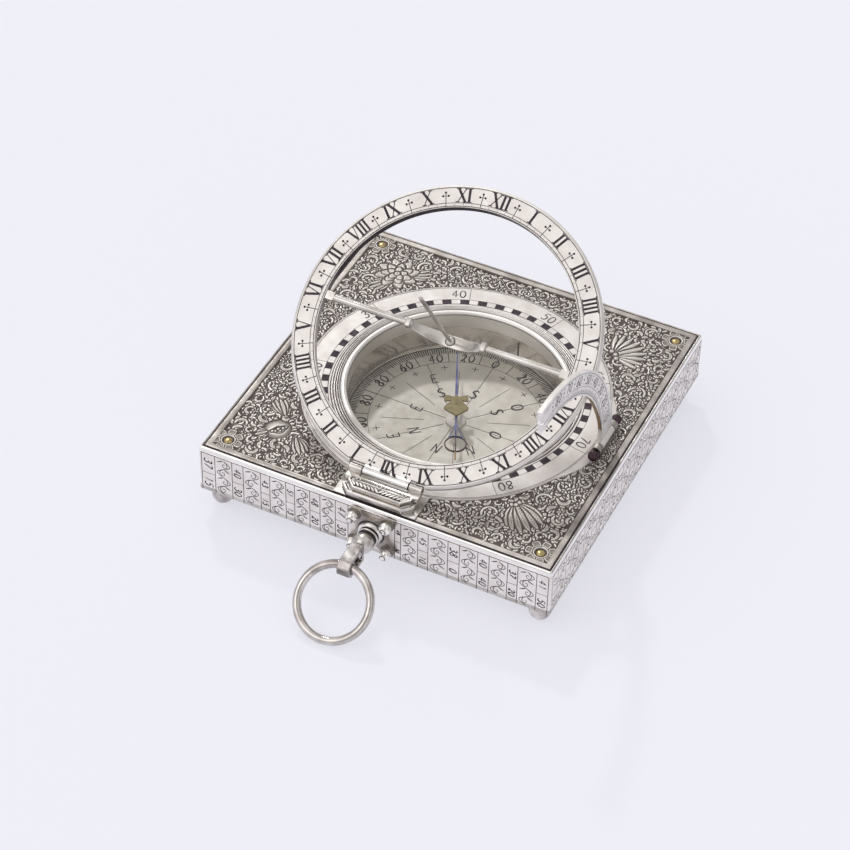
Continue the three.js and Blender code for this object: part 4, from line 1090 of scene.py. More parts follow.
def buildCompass():
    # The turned bowl with a seam and a painted reflection of the card's degree ticks on its wall, the card with its
    # scales and letters, the boss.
    s = {"wall": 21.6, "outer": 22.25, "ledge": 21.0, "floor": 2.1, "cardTop": 2.5, "high": 0.02, "ticks": 288,
         "reflectedTickRows": ((2.95, 21.4, 21.26, 0.0042), (3.75, 21.52, 21.38, 0.0012)), "seamAt": 81, "seam": (4.3, 0.30),
         "scaleIn": 16.85, "scaleOut": 20.85, "fives": 19.2, "ones": 19.55, "scaleLine": (19.4, 0.06), "star": 15.3,
         "rays": (2.2, 0.11), "halfRays": (6.0, 14.2, 0.10), "figureRadius": 18.1, "figure": 1.95, "letter": 2.3,
         "letterRadii": (8.4, 12.6), "seat": (21.34, 21.48, 7.36, 8.345), "gapShadeLine": (21.12, 0.36), "card": 20.9}
    wall, high = s["wall"], s["high"]
    profile = [(0, 1.2), (s["outer"], 1.2), (s["outer"], 10.2), (wall, 10.2), (wall, 7.5), (wall - 0.22, 7.42),
               (wall - 0.25, 3.4), (s["ledge"] + 0.16, 2.75), (s["ledge"], 2.52), (s["ledge"], s["floor"]),
               (0, s["floor"])]
    putPiece("bowl_wall", turned(profile, 200), "bowlSilver", replaces=("compass_bowl",), crease=30)
    putPiece("glass_seat", washer(*s["seat"], 200), "bowlSilver", crease=30)
    # each painted reflection of a tick is a small box whose lower and upper end have their own radii and half width
    # in radians
    corner = np.array([(r, side * turn, z) for z, out, inner, turn in s["reflectedTickRows"]
                       for r, side in ((out, -1), (out, 1), (inner, 1), (inner, -1))])
    r, turnBy, z = (corner[:, i][None] for i in range(3))
    turnBy = np.radians(np.arange(s["ticks"]) * 360 / s["ticks"])[:, None] + turnBy
    points = np.stack([r * np.cos(turnBy), r * np.sin(turnBy), z + 0 * turnBy], -1)
    cell = np.array([[3, 2, 1, 0], [4, 5, 6, 7], [0, 1, 5, 4], [1, 2, 6, 5], [2, 3, 7, 6], [3, 0, 4, 7]])
    ticks = (cell[None] + 8 * np.arange(s["ticks"])[:, None, None]).reshape(-1, 4)
    putPiece("bowl_tick_reflections", (points.reshape(-1, 3), ticks), "mark")
    # a painted shade ring in the gap between the card's edge and the bowl's ledge
    inlay("card_gap_shade", [ringLine(*s["gapShadeLine"], 0.1)], s["cardTop"], "line")
    x, y = outward(math.radians(s["seamAt"]))
    foot = ((wall - 0.24) * x, (wall - 0.24) * y, 3.0)
    putPiece("bowl_seam", posed(spokes([0], 0, *s["seam"], 0.06), foot, (0, 0, 1), (-y, x, 0)), "line")
    card = softened([(0, s["floor"]), (s["card"], s["floor"]), (s["card"], s["cardTop"]), (0, s["cardTop"])], 0.05, 3)
    putPiece("card_disc", turned(card, 200), "card", replaces=("compass_card",), crease=30)
    degrees = np.arange(0, 360, 1.25)
    tens = degrees % 10 == 0
    near = np.select([tens, degrees % 5 == 0], (s["scaleIn"], s["fives"]), s["ones"])
    lines = [spokes(degrees, near, s["scaleOut"], np.where(tens, 0.15, 0.21), high),
             ringLine(*s["scaleLine"], high), ringLine(s["scaleIn"], 0.09, high),
             spokes(np.arange(8) * 45.0, s["rays"][0], s["scaleIn"], s["rays"][1], high),
             spokes(np.arange(8) * 45.0 + 22.5, *s["halfRays"], high)]
    cross = spokes([0, 90, 180, 270], 0.0, 0.72, 0.14, high)
    lines += [onDial(cross, 11.25 + 22.5 * k, s["star"]) for k in range(16)]
    inlay("card_lines", lines, s["cardTop"] - 0.004)
    signs = []
    for k in range(18):
        value = (0, 20, 40, 60, 80, 80, 60, 40, 20)[k % 9]
        signs.append(onDial(figures(str(value), s["figure"], 0.24, 0.08, high), 20 * k + (2 if value else 0),
                            s["figureRadius"]))
    for k, text in enumerate(("S", "SO", "O", "NO", "N", "NE", "E", "SE")):
        signs += [onDial(figures(sign, s["letter"], 0.30, 0.1, high), 45 * k, radius)
                  for sign, radius in zip(text, s["letterRadii"])]
    inlay("card_figures", signs, s["cardTop"] - 0.004)
    boss = [(0, 2.5), (2.0, 2.5), (2.0, 2.74), (1.9, 2.9), (1.5, 3.08), (1.0, 3.14), (0.45, 3.2), (0.35, 3.3),
            (0.34, 6.3), (0.12, 6.83), (0, 6.85)]
    putPiece("pivot_boss", turned(boss, 64), "plateSilver", replaces=("needle_pivot",), crease=30)


buildCompass()


def buildNeedle():
    # A blued blade and tail with an open loop, and the dull brass cap: a shield with two ears, under a small dome.
    s = {"bearing": 24.7, "low": 6.65, "top": 6.9, "tip": 15.3, "loop": 2.0, "loopAt": -10.7, "capLow": 6.9,
         "capTop": 7.18, "hub": (0.42, 1.3), "from": 1.0, "yoke": -8.7, "yokeEnd": (1.35, -8.85), "fork": -5.0,
         "heelFrom": -12.6, "heelTo": -14.8}
    turn = math.radians(s["bearing"])

    def put(name, shells, look, slot="blued_steel", **more):
        # Shells drawn along the needle, turned to its bearing.
        putPiece(name, moved(joinShells(shells), turn), look, "compass_needle", slot, **more)

    low, high = s["low"], s["top"]
    t = np.linspace(0, 1, 20)
    path = np.column_stack([0 * t, s["from"] + (s["tip"] - s["from"]) * t])
    blade = ribbon(path, 0.50 * (1 - t) ** 0.8 + 0.14, low, high)
    hub = washer(*s["hub"], low, high, 40)
    tail = ribbon([(0, -1.0), (0, -4.0), (0, -8.6)], 0.34, low, high - 0.02)
    x, y = s["yokeEnd"]
    yoke = [ribbon([(-x, y), (0, s["yoke"]), (x, y)], 0.34, low, high)]
    yoke += [ribbon([(0, s["fork"]), (side * 1.1, s["yoke"])], 0.12, low, high) for side in (-1, 1)]
    put("needle_blade", [blade, hub, tail] + yoke, "bluedSteel", replaces=("needle",))
    angle = np.linspace(0, tau, 49)
    circle = np.column_stack([s["loop"] * np.sin(angle), s["loop"] * np.cos(angle) + s["loopAt"]])
    loop = ribbon(circle, 0.24, low, high)
    bar = ribbon([(0, s["yoke"]), (0, s["heelFrom"])], 0.26, low, high - 0.04)
    put("needle_loop", [loop, bar], "darkPivot")
    put("needle_heel", [ribbon([(0, s["heelFrom"]), (0, s["heelTo"])], 0.32, low, high)], "oldEdge")
    shield = [(0, -3.3), (2.2, -1.6), (2.35, -1.0), (1.1, 0.8), (0.9, 1.6), (-0.9, 1.6), (-1.1, 0.8), (-2.35, -1.0),
              (-2.2, -1.6)]
    ears = [(0, 0.7), (1.0, 0.9), (2.3, 0.7), (2.25, 2.4), (1.5, 2.3), (0.7, 1.9), (0, 2.5), (-0.7, 1.9), (-1.5, 2.3),
            (-2.25, 2.4), (-2.3, 0.7), (-1.0, 0.9)]
    put("cap_plate", [slab(shield, s["capLow"], s["capTop"] + 0.03), slab(ears, s["capLow"], s["capTop"])],
        "dullBrass", "brass", replaces=("needle_cap",), crease=20)
    t = np.linspace(0, 1, 6)
    dome = outward(t * math.pi / 2) * [0.30, 0.12] + [0, 7.20]
    profile = np.vstack([[(0, 7.15)], [(0.30, 7.15)], dome[:-1], [(0, 7.32)]])
    putPiece("cap_dome", turned(profile, 24), "dullBrass", "compass_needle", "brass")


buildNeedle()
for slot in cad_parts["glass"].material_slots:
    slot.link = "OBJECT"
    slot.material = looks["glass"]
print("compass ready")


# ---- hour ring ----

ringTurn = math.radians(boxSizes["ringTilt"])
ringOrigin = (0, boxSizes["hingeY"], boxSizes["hingeZ"])
ringAxes = ((1, 0, 0), (0, math.cos(ringTurn), math.sin(ringTurn)))
ringCentre = (0, boxSizes["ringReach"], 0)


def onRing(shell):
    # A shell from the ring's own frame, whose origin is the hinge, taken to its raised place.
    return posed(shell, ringOrigin, *ringAxes)


def buildHourRing():
    # A turned hoop whose front edge is cut straight where the hinge barrel lies: y is at least the notch's depth.
    s = {"outer": 29.33, "inner": 24.71, "middle": 27.3, "thick": 1.6, "bevel": 0.42, "notchHalf": 7.7,
         "notchDepth": 1.15, "knuckle": 0.8, "knuckleHalf": 4.6, "tabThick": 0.9, "soft": 0.09, "around": 40,
         "paintedShadeAt": (20, 60, 95, 168, 180, 200), "paintedShade": (0.15, 0.35, 0.95, 0.95, 0.6, 0.1)}
    z, bevel, outer, middle, inner = s["thick"] / 2, s["bevel"], s["outer"], s["middle"], s["inner"]
    section = softened([(outer - bevel, -z), (outer, -z + bevel), (outer, z - bevel), (outer - bevel, z),
                        (middle, z), (inner, z), (inner, -z), (middle, -z)], s["soft"], 4, True)
    edgeAngle = math.asin(s["notchHalf"] / outer)
    base = np.linspace(0, tau, 288, endpoint=False) - math.pi * 1.5
    extra = np.array([-edgeAngle - 1e-5, -edgeAngle + 1e-5, edgeAngle - 1e-5, edgeAngle + 1e-5]) - math.pi / 2
    angle = np.sort(np.concatenate([base, extra]))
    r, z = section[:, :1], section[:, 1:]
    x, y = r * np.cos(angle), r * np.sin(angle) + boxSizes["ringReach"]
    inNotch = np.abs(angle + math.pi / 2) < edgeAngle
    y = np.where(inNotch & (y < s["notchDepth"]), s["notchDepth"], y)
    hoop = (np.stack([x, y, z + 0 * x], -1).reshape(-1, 3), gridFaces(len(section), len(angle), True, True))
    piece = putPiece("hour_hoop", onRing(hoop), "paintedShadeDial", "hour_ring", replaces=("hour_ring",), crease=24)
    # the share of painted shade by each point's place in the ring's own frame: only the inner wall has any
    spots = np.empty(len(piece.data.vertices) * 3, np.float32)
    piece.data.vertices.foreach_get("co", spots)
    spots = (spots.reshape(-1, 3) / mm - ringOrigin) @ np.array([*ringAxes, np.cross(*ringAxes)]).T - ringCentre
    bearing = np.degrees(np.arctan2(spots[:, 1], spots[:, 0]))
    wall = np.clip((inner + 0.10 - np.hypot(spots[:, 0], spots[:, 1])) / 0.08, 0, 1)
    dark = np.interp(np.where(bearing < -90, bearing + 360, bearing), s["paintedShadeAt"], s["paintedShade"])
    mark = piece.data.attributes.new("paintedShade", "FLOAT", "POINT")
    mark.data.foreach_set("value", (wall * dark).astype(np.float32))
    t = np.linspace(0, tau, s["around"], endpoint=False)
    barrel = outward(t) * s["knuckle"]
    end = s["knuckleHalf"]
    rows = [np.column_stack([np.full(s["around"], x), barrel * k])
            for x, k in ((-end, 0), (-end, 0.93), (-end + 0.06, 1), (end - 0.06, 1), (end, 0.93), (end, 0))]
    knuckle = (np.vstack(rows), gridFaces(len(rows), s["around"], False, True))
    tab = ribbon([(0, 0.0), (0, 1.5)], 2 * end, -s["tabThick"] / 2, s["tabThick"] / 2)
    putPiece("hour_ring_knuckle", onRing(joinShells([knuckle, tab])), "brightSilver", "hour_ring", crease=40)


buildHourRing()


def buildHourScale():
    # Twice twelve hours clockwise from the far side, with a dotted mark at each half hour.
    s = {"edge": (28.66, 0.14), "scale": ((24.98, 0.15), (25.62, 0.11)), "figureRadius": 27.12, "figure": 2.75,
         "lowRadius": 26.85, "lowFigure": 2.2, "thick": 0.475, "thin": 0.17, "high": 0.025, "squeeze": 0.86,
         "tickIn": 25.02, "tickOut": (25.62, 25.4), "stem": (24.95, 27.7), "starAt": 27.05, "starDot": 0.22,
         "starArm": 0.5}
    hours = ("XII", "I", "II", "III", "IIII", "V", "VI", "VII", "VIII", "IX", "X", "XI")
    high, at, dot, arm = s["high"], s["starAt"], s["starDot"], s["starArm"]
    foot, head = s["stem"]
    lines = [ringLine(r, w, high, 288) for r, w in s["scale"]]
    lines.append(ringLine(*s["edge"], high, 288, (-75, 255)))
    lines.append(spokes(np.arange(0, 360, 3.75), s["tickIn"], np.tile(s["tickOut"], 48), 0.05, high))
    star = joinShells([ribbon([(0, foot), (0, head)], 0.13, 0, high), bead(0, head + 0.02, dot, high),
                       bead(-arm - 0.02, at, dot, high), bead(arm + 0.02, at, dot, high),
                       ribbon([(-arm, at), (arm, at)], 0.09, 0, high * 0.9)])
    signs = []
    for k in range(24):
        text, low = hours[k % 12], k == 12
        points, faces = roman(text, s["lowFigure" if low else "figure"], s["thick"], s["thin"], high)
        mark = points * [s["squeeze"] if len(text) > 3 else 1.0, 1, 1], faces
        signs += [onDial(mark, 15 * k, s["lowRadius" if low else "figureRadius"]), onDial(star, 15 * k + 7.5)]
    place = np.array(ringCentre, float) + [0, 0, 0.8 - 0.005]
    for name, shells, look in (("hour_lines", lines, "line"), ("hour_figures", signs, "inkAndShade")):
        putPiece(name, onRing(moved(joinShells(shells), 0, place)), look, "hour_ring")


buildHourScale()
print("hour ring ready")


# ---- gnomon, bearings, hinges, latitude arc, suspension ----

def buildSmallParts():
    # Pieces that keep the solid's own shape, each with its finish, body, slot and edge rounding.
    skins = (
        ("bearing_left", "gnomon_bearing_left", "silver", "hour_ring", "silver", 0.12),
        ("bearing_right", "gnomon_bearing_right", "silver", "hour_ring", "silver", 0.12),
        ("bracket_block", "hinge_bracket", "rodSilver", "case", "silver", 0.14),
        ("hinge_rod", "hinge_pin", "darkPivot", "case", "dark_silver", 0.03),
        ("arc_plate", "latitude_arc", "dialSilver", "latitude_arc", "silver", 0.09),
        ("arc_hinge_seat", "arc_hinge_base", "edgeSilver", "case", "silver", 0.08),
        ("arc_hinge_rod", "arc_hinge_pin", "darkPivot", "case", "dark_silver", 0.0),
        ("arc_hinge_knob", "arc_hinge_ball", "darkPivot", "case", "dark_silver", 0.0),
        ("hanger_plate", "suspension_plate", "edgeSilver", "case", "silver", 0.12),
        ("hanger_strap", "suspension_strap", "strapSilver", "suspension_strap", "silver", 0.16))
    for skin in skins:
        dressed(*skin)


buildSmallParts()


def buildGnomonBridge():
    # Two tapering rods, two square collars and a bowed strip that is widest about the pin.
    s = {"span": 7.6, "depth": 3.6, "thick": 0.42, "narrow": 1.25, "wide": 2.35,
         "rod": ((6.9, 0.60), (7.6, 0.60), (8.6, 0.61), (14.0, 0.67), (20.0, 0.74), (24.35, 0.78), (24.45, 0.7)),
         "collar": (0.88, -0.55, 0.55, 0.16, 0.2)}
    radius = (s["span"] ** 2 + s["depth"] ** 2) / (2 * s["depth"])
    t = np.linspace(-1, 1, 41)
    angle = t * math.asin(s["span"] / radius)
    x, z = radius * np.sin(angle), radius * (1 - np.cos(angle)) - s["depth"]
    w = (s["narrow"] + (s["wide"] - s["narrow"]) * np.cos(t * math.pi / 2) ** 0.8) / 2
    inward = np.stack([-np.sin(angle), 0 * angle, np.cos(angle)], -1)
    middle = np.stack([x, 0 * x, z], -1)
    shape = ((-1, -0.5), (-0.9, -0.62), (0, -0.66), (0.9, -0.62), (1, -0.5), (1, 0.30), (0.86, 0.48), (0, 0.22),
             (-0.86, 0.48), (-1, 0.30))
    rows = np.stack([middle + inward * h * s["thick"] + np.outer(w * v, (0, 1, 0)) for v, h in shape], 1)
    shells = [skinned(rows, middle[0], middle[-1])]
    stations, radii = np.array(s["rod"]).T
    for side in (-1, 1):
        rod = pipe(np.column_stack([side * stations, 0 * stations, 0 * stations]), radii, 20, False)
        shells += [rod, posed(plug(*s["collar"]), (side * s["span"], 0, 0), (0, 1, 0), (0, 0, 1))]
    pin = turned([(0, -3.8), (0.30, -3.8), (0.30, -3.1), (0.34, -3.0), (0.36, 6.0), (0.38, 20.8), (0.34, 21.2),
                  (0.2, 21.38), (0, 21.4)], 24)
    collar = turned([(0, -3.45), (0.8, -3.45), (0.86, -3.32), (0.66, -3.1), (0.5, -3.02), (0, -3.02)], 32)
    for name, shell, look, node, crease in (
            ("gnomon_bridge", joinShells(shells), "rodSilver", ("gnomon_bar",), 35),
            ("gnomon_rod", pin, "wornSilver", ("gnomon_pin",), 50), ("gnomon_collar", collar, "wornSilver", (), 35),
            ("gnomon_collar_shadow", washer(0, 0.98, -3.42, -3.38, 32), "inkAndShade", (), 35)):
        putPiece(name, onRing(moved(shell, 0, ringCentre)), look, "gnomon", replaces=node, crease=crease)


buildGnomonBridge()


def buildBracketWork():
    # Beads, a raised line and a twisted leaf band in the sunk panel, a round moulding before it, and painted shade
    # about them.
    s = {"floor": 12.8, "beadRow": -31.72, "beadsAt": (-5.0, -4.25, -0.78, 0, 0.78, 4.25, 5.0), "bead": (0.30, 0.24),
         "barRow": -32.28, "ropeRow": -33.02, "flower": (5.15, -32.72, 0.3), "petal": (0.16, 0.2),
         "moulding": ((-7.02, -32.9), (-6.85, -33.25), (-5.62, -34.42), (-5.3, -34.55)), "mouldingAt": 11.98,
         "frame": ((-5.88, -31.75), (-5.88, -33.1), (-5.2, -33.68)),
         "outline": ((-7.16, -31.2), (-7.16, -33.36), (-5.53, -34.93)), "outlineAt": 11.24,
         "upper": ((-6.46, -31.2), (-6.46, -33.05), (-5.2, -34.26)), "upperAt": 11.99, "knuckleEnds": (-4.65, 4.65)}

    def dome(x, y, radius, high, around):
        # A quarter circle of radius and height turned about Z, set in the panel.
        a = np.linspace(0, math.pi / 2, 6)[:-1]
        profile = np.vstack([[(0, 0)], outward(a) * [radius, high], [(0, high)]])
        return moved(turned(profile, around), 0, (x, y, s["floor"]))

    def mirrored(path):
        # A half outline and the same half again on the other side, as one line.
        return list(path) + [(-x, *rest) for x, *rest in path[::-1]]

    def outlined(path, width, high, level):
        # A thin straight bar along each side of an outline.
        return [moved(ribbon([a, b], width, 0, high), 0, (0, 0, level)) for a, b in zip(path[:-1], path[1:])]

    beads = [dome(x, s["beadRow"], *s["bead"], 20) for x in s["beadsAt"]]
    # painted shade: dark discs round the beads, a dark strip under the leaf band and a dark line round the panel's
    # frame
    dark = [bead(x, s["beadRow"], 0.39, 0.02, 20) for x in s["beadsAt"]]
    dark.append(ribbon([(-5.2, s["ropeRow"]), (5.2, s["ropeRow"])], 1.12, 0, 0.015))
    dark = [moved(shell, 0, (0, 0, s["floor"])) for shell in dark]
    dark += outlined(mirrored(s["frame"]) + [s["frame"][0]], 0.15, 0.02, s["floor"])
    rope = [ribbon([(-4.7, s["barRow"]), (4.7, s["barRow"])], 0.16, 0, 0.24)]
    u = np.linspace(-1, 1, 9)
    for x in np.arange(0.40, 5.0, 0.76):
        for side in (-1, 1):
            path = np.column_stack([side * (x + 0.44 * u + 0.10 * u * u), s["ropeRow"] + 0.43 * u])
            rope.append(ribbon(path, 0.08 + 0.30 * np.cos(u * 1.4), 0, 0.2))
    beads += [moved(shell, 0, (0, 0, s["floor"])) for shell in rope]
    x, y, r = s["flower"]
    beads += [dome(side * x + r * math.cos(a), y + r * math.sin(a), *s["petal"], 10)
              for side in (-1, 1) for a in np.arange(6) * tau / 6]
    putPiece("bracket_beads", joinShells(beads), "rodSilver", crease=40)
    putPiece("bracket_shadows", joinShells(dark), "line")
    path = [(x, y, s["mouldingAt"]) for x, y in mirrored(s["moulding"])]
    putPiece("bracket_moulding", pipe(path, 0.34, 16, False), "silver", crease=50)
    # painted shadow along the bracket's foot on the plate and painted shade along its upper edge
    edges = outlined(mirrored(s["outline"]), 0.16, 0.03, s["outlineAt"])
    edges += outlined(mirrored(s["upper"]), 0.16, 0.03, s["upperAt"])
    putPiece("bracket_edge_shade", joinShells(edges), "line")
    # painted shade in the hinge's joints at both ends of the ring's knuckle
    jointShades = [posed(washer(0.3, 0.815, -0.05, 0.05, 32), (x, *ringOrigin[1:]), (0, 1, 0), (0, 0, 1))
            for x in s["knuckleEnds"]]
    putPiece("hinge_gap_shade", joinShells(jointShades), "inkAndShade", slot="dark_silver")


buildBracketWork()


def buildArcScale():
    # A plain degree scale with figures on the arc's outer face, its brown inner edge and the knobs of its tip.
    s = {"x": 30.7, "z": 12.4, "lean": 1.2, "face": 0.3, "inner": 25.7, "high": 0.018, "scaleIn": 26.15,
         "tickOut": (27.5, 27.2, 26.85), "rings": ((26.15, 0.08), (27.5, 0.07), (29.95, 0.09)), "figureRadius": 28.75,
         "tip": 93.2, "knobs": ((0.5, 26.2), (0.62, 28.3), (0.5, 30.4))}
    lean, high = math.radians(s["lean"]), s["high"]
    up = (-math.sin(lean), 0, math.cos(lean))
    out = (math.cos(lean), 0, math.sin(lean))
    base = np.array([s["x"], 0, s["z"]]) + np.array(out) * (s["face"] - 0.005)
    centre = (boxSizes["hingeY"], boxSizes["hingeZ"] - s["z"], 0)

    def put(name, shells, look, crease=35):
        # Shells drawn about the arc's centre, laid on its outer face.
        putPiece(name, posed(moved(joinShells(shells), 0, centre), base, (0, 1, 0), up), look, "latitude_arc",
                 crease=crease)

    def atAngle(mark, degrees):
        # A mark standing at its own radius, its head away from the arc's centre.
        a = math.radians(degrees)
        return moved(mark, a - math.pi / 2, (*outward(a) * s["figureRadius"], 0))

    ticks = np.arange(10, 89)
    far = np.select([ticks % 10 == 0, ticks % 5 == 0], s["tickOut"][:2], s["tickOut"][2])
    lines = [ringLine(r, w, high, 90, (7, 92)) for r, w in s["rings"]]
    put("arc_lines", lines + [spokes(ticks, s["scaleIn"], far, 0.08, high)], "line")
    signs = [atAngle(figures(str(value), 1.7, 0.2, 0.1, high), value) for value in range(10, 90, 10)]
    dots = joinShells([bead(0, y, r, high) for y, r in ((0, 0.2), (0.75, 0.14), (-0.75, 0.14))])
    put("arc_figures", signs + [atAngle(dots, value) for value in range(15, 90, 10)], "inkAndShade")
    # the brown edge follows the arc's inner radius, which flares at both ends by two bell curves
    a = np.radians(np.linspace(6, 93.8, 60))
    flare = 1.1 * (np.exp(-((np.degrees(a) - 4) / 14) ** 2) + 0.6 * np.exp(-((np.degrees(a) - 94) / 16) ** 2))
    rows = [np.stack([(s["inner"] + flare + dr) * np.cos(a), (s["inner"] + flare + dr) * np.sin(a), z + 0 * a], -1)
            for dr, z in ((0.05, -0.78), (0.05, -0.07), (-0.02, -0.07), (-0.02, -0.78))]
    band = np.stack(rows, 1)
    tip, t = math.radians(s["tip"]), np.linspace(-1.57, 1.57, 14)
    knobs = [moved(turned(outward(t) * r, 24), 0, (*outward(tip) * q, -0.42)) for r, q in s["knobs"]]
    put("arc_tip_knobs", knobs, "brightSilver", 60)
    put("arc_inner_edge", [skinned(band, band[0].mean(0), band[-1].mean(0))], "oldEdge")


buildArcScale()


def buildSuspension():
    # Turned pieces whose own Z runs to the front: four domed studs with an eye, and the stepped swivel stud
    # that ends in a ball (r cos u, r sin u) and a neck; thin dark rings of painted shade lie in the steps.
    s = {"x": 0.3, "z": 5.7, "stud": 1.2, "studHeight": 2.3, "spacing": 6.7, "plate": 0.7, "ball": 2.0, "ballAt": 3.8,
         "length": 7.4, "shadows": ((2.72, 0.7), (2.0, 1.62), (1.86, 2.32)),
         "steps": ((0, 0.7), (2.5, 0.7), (2.5, 0.95), (2.42, 1.3), (2.2, 1.5), (1.55, 1.52), (1.5, 1.85),
                   (1.6, 1.9), (2.05, 1.95), (2.125, 2.1), (2.05, 2.25), (1.6, 2.3)),
         "neck": ((0.75, 5.66), (0.75, 6.8), (1.1, 6.8), (1.1, 7.2), (0.9, 7.4), (0, 7.4))}

    def onFront(shell, sx=0, sz=0):
        # About the middle of the hanger, or about one of the four studs.
        return posed(shell, (s["x"] + sx * s["spacing"] / 2, -half, s["z"] + sz * s["spacing"] / 2),
                     (1, 0, 0), (0, 0, 1))

    t = np.linspace(-math.pi / 4, math.pi / 2, 16)
    centre = s["plate"] + s["studHeight"] - s["stud"]
    dome = outward(t) * s["stud"] * [1, 0.94] + [0, centre]
    eye = [(0.46, centre + 0.98), (0.42, centre + 1.1), (0.3, centre + 1.17), (0, centre + 1.2)]
    dome = dome[dome[:, 1] < centre + 0.98]
    profile = np.vstack([[(0, s["plate"])], [(0.8, s["plate"])], [(0.8, dome[0, 1])], dome, eye])
    for where, sx, sz in (("lower_left", -1, -1), ("lower_right", 1, -1), ("upper_right", 1, 1),
                          ("upper_left", -1, 1)):
        putPiece("stud_" + where, onFront(turned(profile, 40), sx, sz), "brightSilver",
                 replaces=("suspension_stud_" + where,))
    # painted shadow round the foot of each stud and painted shade round its eye
    rim = turned([(0.3, centre + 0.9), (0.64, centre + 0.9), (0.62, centre + 0.99), (0.3, centre + 1.03)], 32, True)
    putPiece("stud_shadows", joinShells([onFront(shell, sx, sz) for shell in (washer(0.5, 1.34, 0.6, 0.72, 40), rim)
                                         for sx in (-1, 1) for sz in (-1, 1)]), "mark")
    # painted shade rings in the swivel stud's steps
    putPiece("hanger_shadows", joinShells([onFront(washer(0, r, z, z + 0.05, 40)) for r, z in s["shadows"]]), "inkAndShade")
    u = np.linspace(-0.62, 1.18, 22)
    ball = outward(u) * s["ball"] + [0, s["ballAt"]]
    reach = -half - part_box("swivel_stud")[0].y / mm
    neck = [(r, min(z * reach / s["length"], reach)) for r, z in s["neck"]]
    putPiece("swivel_turned", onFront(turned(np.vstack([s["steps"], ball[ball[:, 1] > 2.6], neck]), 56)), "silver",
             replaces=("swivel_stud",), crease=45)


buildSuspension()


def buildSuspensionRing():
    # A round wire ring, its plane sloping down and away from the strap.
    s = {"radius": 6.95, "wire": 0.82, "x": 0.3, "y": -46.148, "z": 6.0, "slope": 42.7}
    a = np.linspace(0, tau, 120, endpoint=False)
    tilt = math.radians(s["slope"])
    path = np.column_stack([np.cos(a), np.sin(a) - 1, 0 * a]) * s["radius"]
    ring = pipe(path, s["wire"], 28)
    axes = ((1, 0, 0), (0, math.cos(tilt), math.sin(tilt)))
    putPiece("hanging_ring", posed(ring, (s["x"], s["y"], s["z"]), *axes), "ringSilver", "suspension_ring",
             replaces=("suspension_ring",))


buildSuspensionRing()
print("fittings ready")


# ---- floor, light and camera ----

def stood(item, axes, place):
    # An object turned to the given three axes and put at its place.
    item.matrix_world = Matrix([(*(axis[i] for axis in axes), place[i]) for i in range(3)] + [(0, 0, 0, 1)])


def buildStage():
    # Pale paper: part of its tone comes from the light on it, part is seen by the camera and in the silver.
    s = {"floor": -4.32, "side": 1.6, "colour": (0.29, 0.297, 0.327), "lift": (0.59, 0.587, 0.64), "rough": 0.9,
         "gloss": 0.1}
    mesh = bpy.data.meshes.new("floor")
    e, z = s["side"] / 2, s["floor"] * mm
    mesh.from_pydata([(-e, -e, z), (e, -e, z), (e, e, z), (-e, e, z)], [], [(0, 1, 2, 3)])
    floor = placed("floor", mesh)
    paper, tree, shader = newMaterial("paper")
    path = addNode(tree, "LightPath").outputs
    seen = path["Is Camera Ray"]
    for other in ("Is Glossy Ray", "Is Transmission Ray"):
        seen = addNode(tree, "Math", {0: seen, 1: path[other]}, operation="MAXIMUM").outputs["Value"]
    setSockets(tree, shader, {
        "Base Color": (*s["colour"], 1), "Roughness": s["rough"], "Specular IOR Level": s["gloss"],
        "Emission Color": (*s["lift"], 1), "Emission Strength": seen})
    mesh.materials.append(paper)


buildStage()


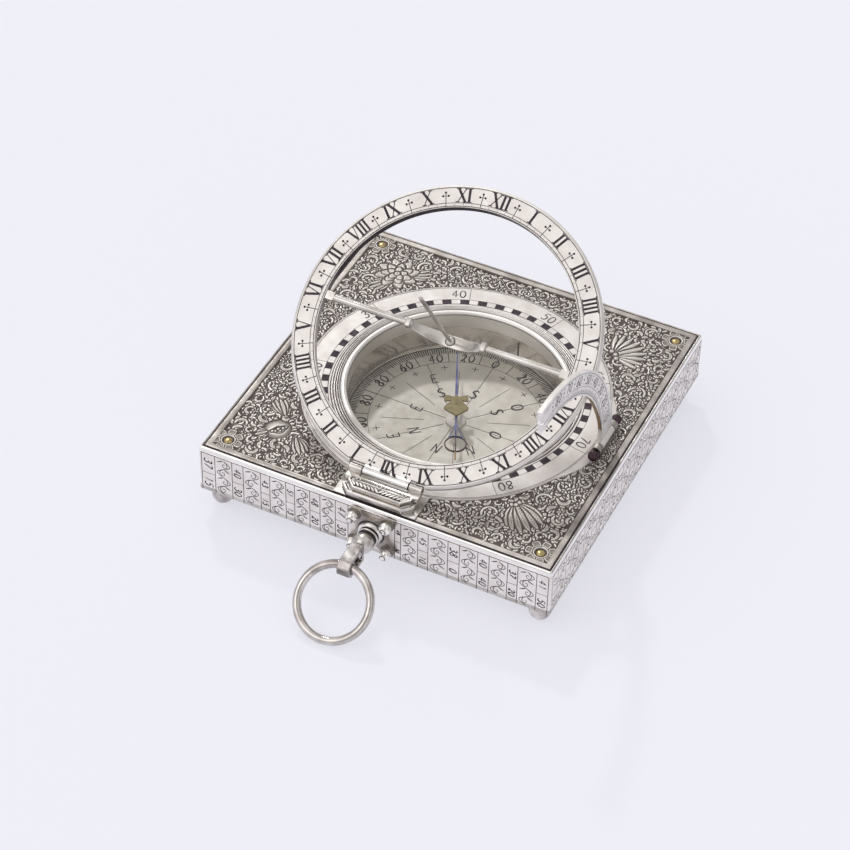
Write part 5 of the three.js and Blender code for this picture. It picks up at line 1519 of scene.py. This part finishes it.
def buildLight():
    # A pale room, dimmer overhead, with soft round parts of it darker for the metal to mirror, and one lamp.
    s = {"room": (1.0, 0.975, 0.955), "levels": ((0.0, 1.0), (0.9, 0.84), (0.35, 1.0)),
         "behind": (0.855, 0.847, 0.921), "lampFrom": (-0.46, 0.56, 0.69), "lampSpread": 5.0, "lampPower": 0.62}
    # the darker parts: direction, inner and outer half angle, depth
    dimmed = (((0.30, -0.66, 0.685), 9, 27, 0.5), ((0.1, -0.98, 0.15), 14, 42, 0.3),
              ((0.95, 0.1, 0.25), 14, 38, 0.5), ((0.60, 0.70, 0.33), 10, 32, 0.65),
              ((-0.97, -0.1, 0.18), 10, 30, 0.5), ((-0.30, 0.66, 0.685), 8, 32, 0.45),
              ((-0.42, -0.56, 0.71), 10, 30, -0.9))
    world = bpy.data.worlds.new("paleRoom")
    bpy.context.scene.world = world
    world.use_nodes = True
    tree = world.node_tree
    look = addNode(tree, "TexCoord").outputs["Generated"]
    height = addNode(tree, "SeparateXYZ", {"Vector": look}).outputs["Z"]
    room = addRamp(tree, height, *((place, [c * level for c in s["room"]]) for place, level in s["levels"]))
    level = None
    for direction, inner, outer, depth in dimmed:
        toward = addNode(tree, "VectorMath", {0: look, 1: np.array(direction) / np.linalg.norm(direction)},
                         operation="DOT_PRODUCT")
        fade = addNode(tree, "MapRange", {
            "Value": toward.outputs["Value"], "From Min": math.cos(math.radians(outer)),
            "From Max": math.cos(math.radians(inner)), "To Min": 1.0, "To Max": 1.0 - depth},
            interpolation_type="SMOOTHSTEP").outputs["Result"]
        if level is not None:
            fade = addNode(tree, "Math", {0: level, 1: fade}, operation="MULTIPLY").outputs["Value"]
        level = fade
    back = tree.nodes["Background"]
    setSockets(tree, back, {"Color": room, "Strength": level})
    # past the edge of the floor the camera sees the floor's own tone
    behind = addNode(tree, "Background", {"Color": (*s["behind"], 1)})
    seen = addNode(tree, "LightPath").outputs["Is Camera Ray"]
    mix = addNode(tree, "MixShader", {"Fac": seen, 1: back.outputs["Background"], 2: behind.outputs["Background"]})
    setSockets(tree, tree.nodes["World Output"], {"Surface": mix.outputs["Shader"]})
    data = bpy.data.lights.new("key", "SUN")
    data.angle, data.energy = math.radians(s["lampSpread"]), s["lampPower"]
    aim = -np.array(s["lampFrom"]) / np.linalg.norm(s["lampFrom"])
    x = np.cross(aim, (0, 0, 1.0))
    x /= np.linalg.norm(x)
    stood(placed("key", data), (x, np.cross(x, aim), -aim), s["lampFrom"])


buildLight()


def buildCamera():
    # The photo's camera: it looks from azimuth and elevation, rolled about its own line of sight.
    s = {"azimuth": 24.675, "elevation": 43.28, "roll": 1.679, "place": (156.309, -347.814, 364.432),
         "lens": 116.53, "shift": (-0.01706, -0.01765), "film": 36.0, "near": 0.01, "far": 10}
    az, el, roll = (math.radians(s[k]) for k in ("azimuth", "elevation", "roll"))
    back = np.array([math.sin(az) * math.cos(el), -math.cos(az) * math.cos(el), math.sin(el)])
    x = np.cross((0, 0, 1.0), back)
    x /= np.linalg.norm(x)
    y = np.cross(back, x)
    right = math.cos(roll) * x + math.sin(roll) * y
    up = -math.sin(roll) * x + math.cos(roll) * y
    data = bpy.data.cameras.new("photograph")
    data.lens, data.sensor_width, data.sensor_fit = s["lens"], s["film"], "HORIZONTAL"
    data.shift_x, data.shift_y = s["shift"]
    data.clip_start, data.clip_end = s["near"], s["far"]
    camera = placed("photograph", data)
    stood(camera, (right, up, back), np.array(s["place"]) * mm)
    bpy.context.scene.camera = camera


buildCamera()
bpy.context.scene.view_settings.view_transform = "Standard"
print("stage ready")
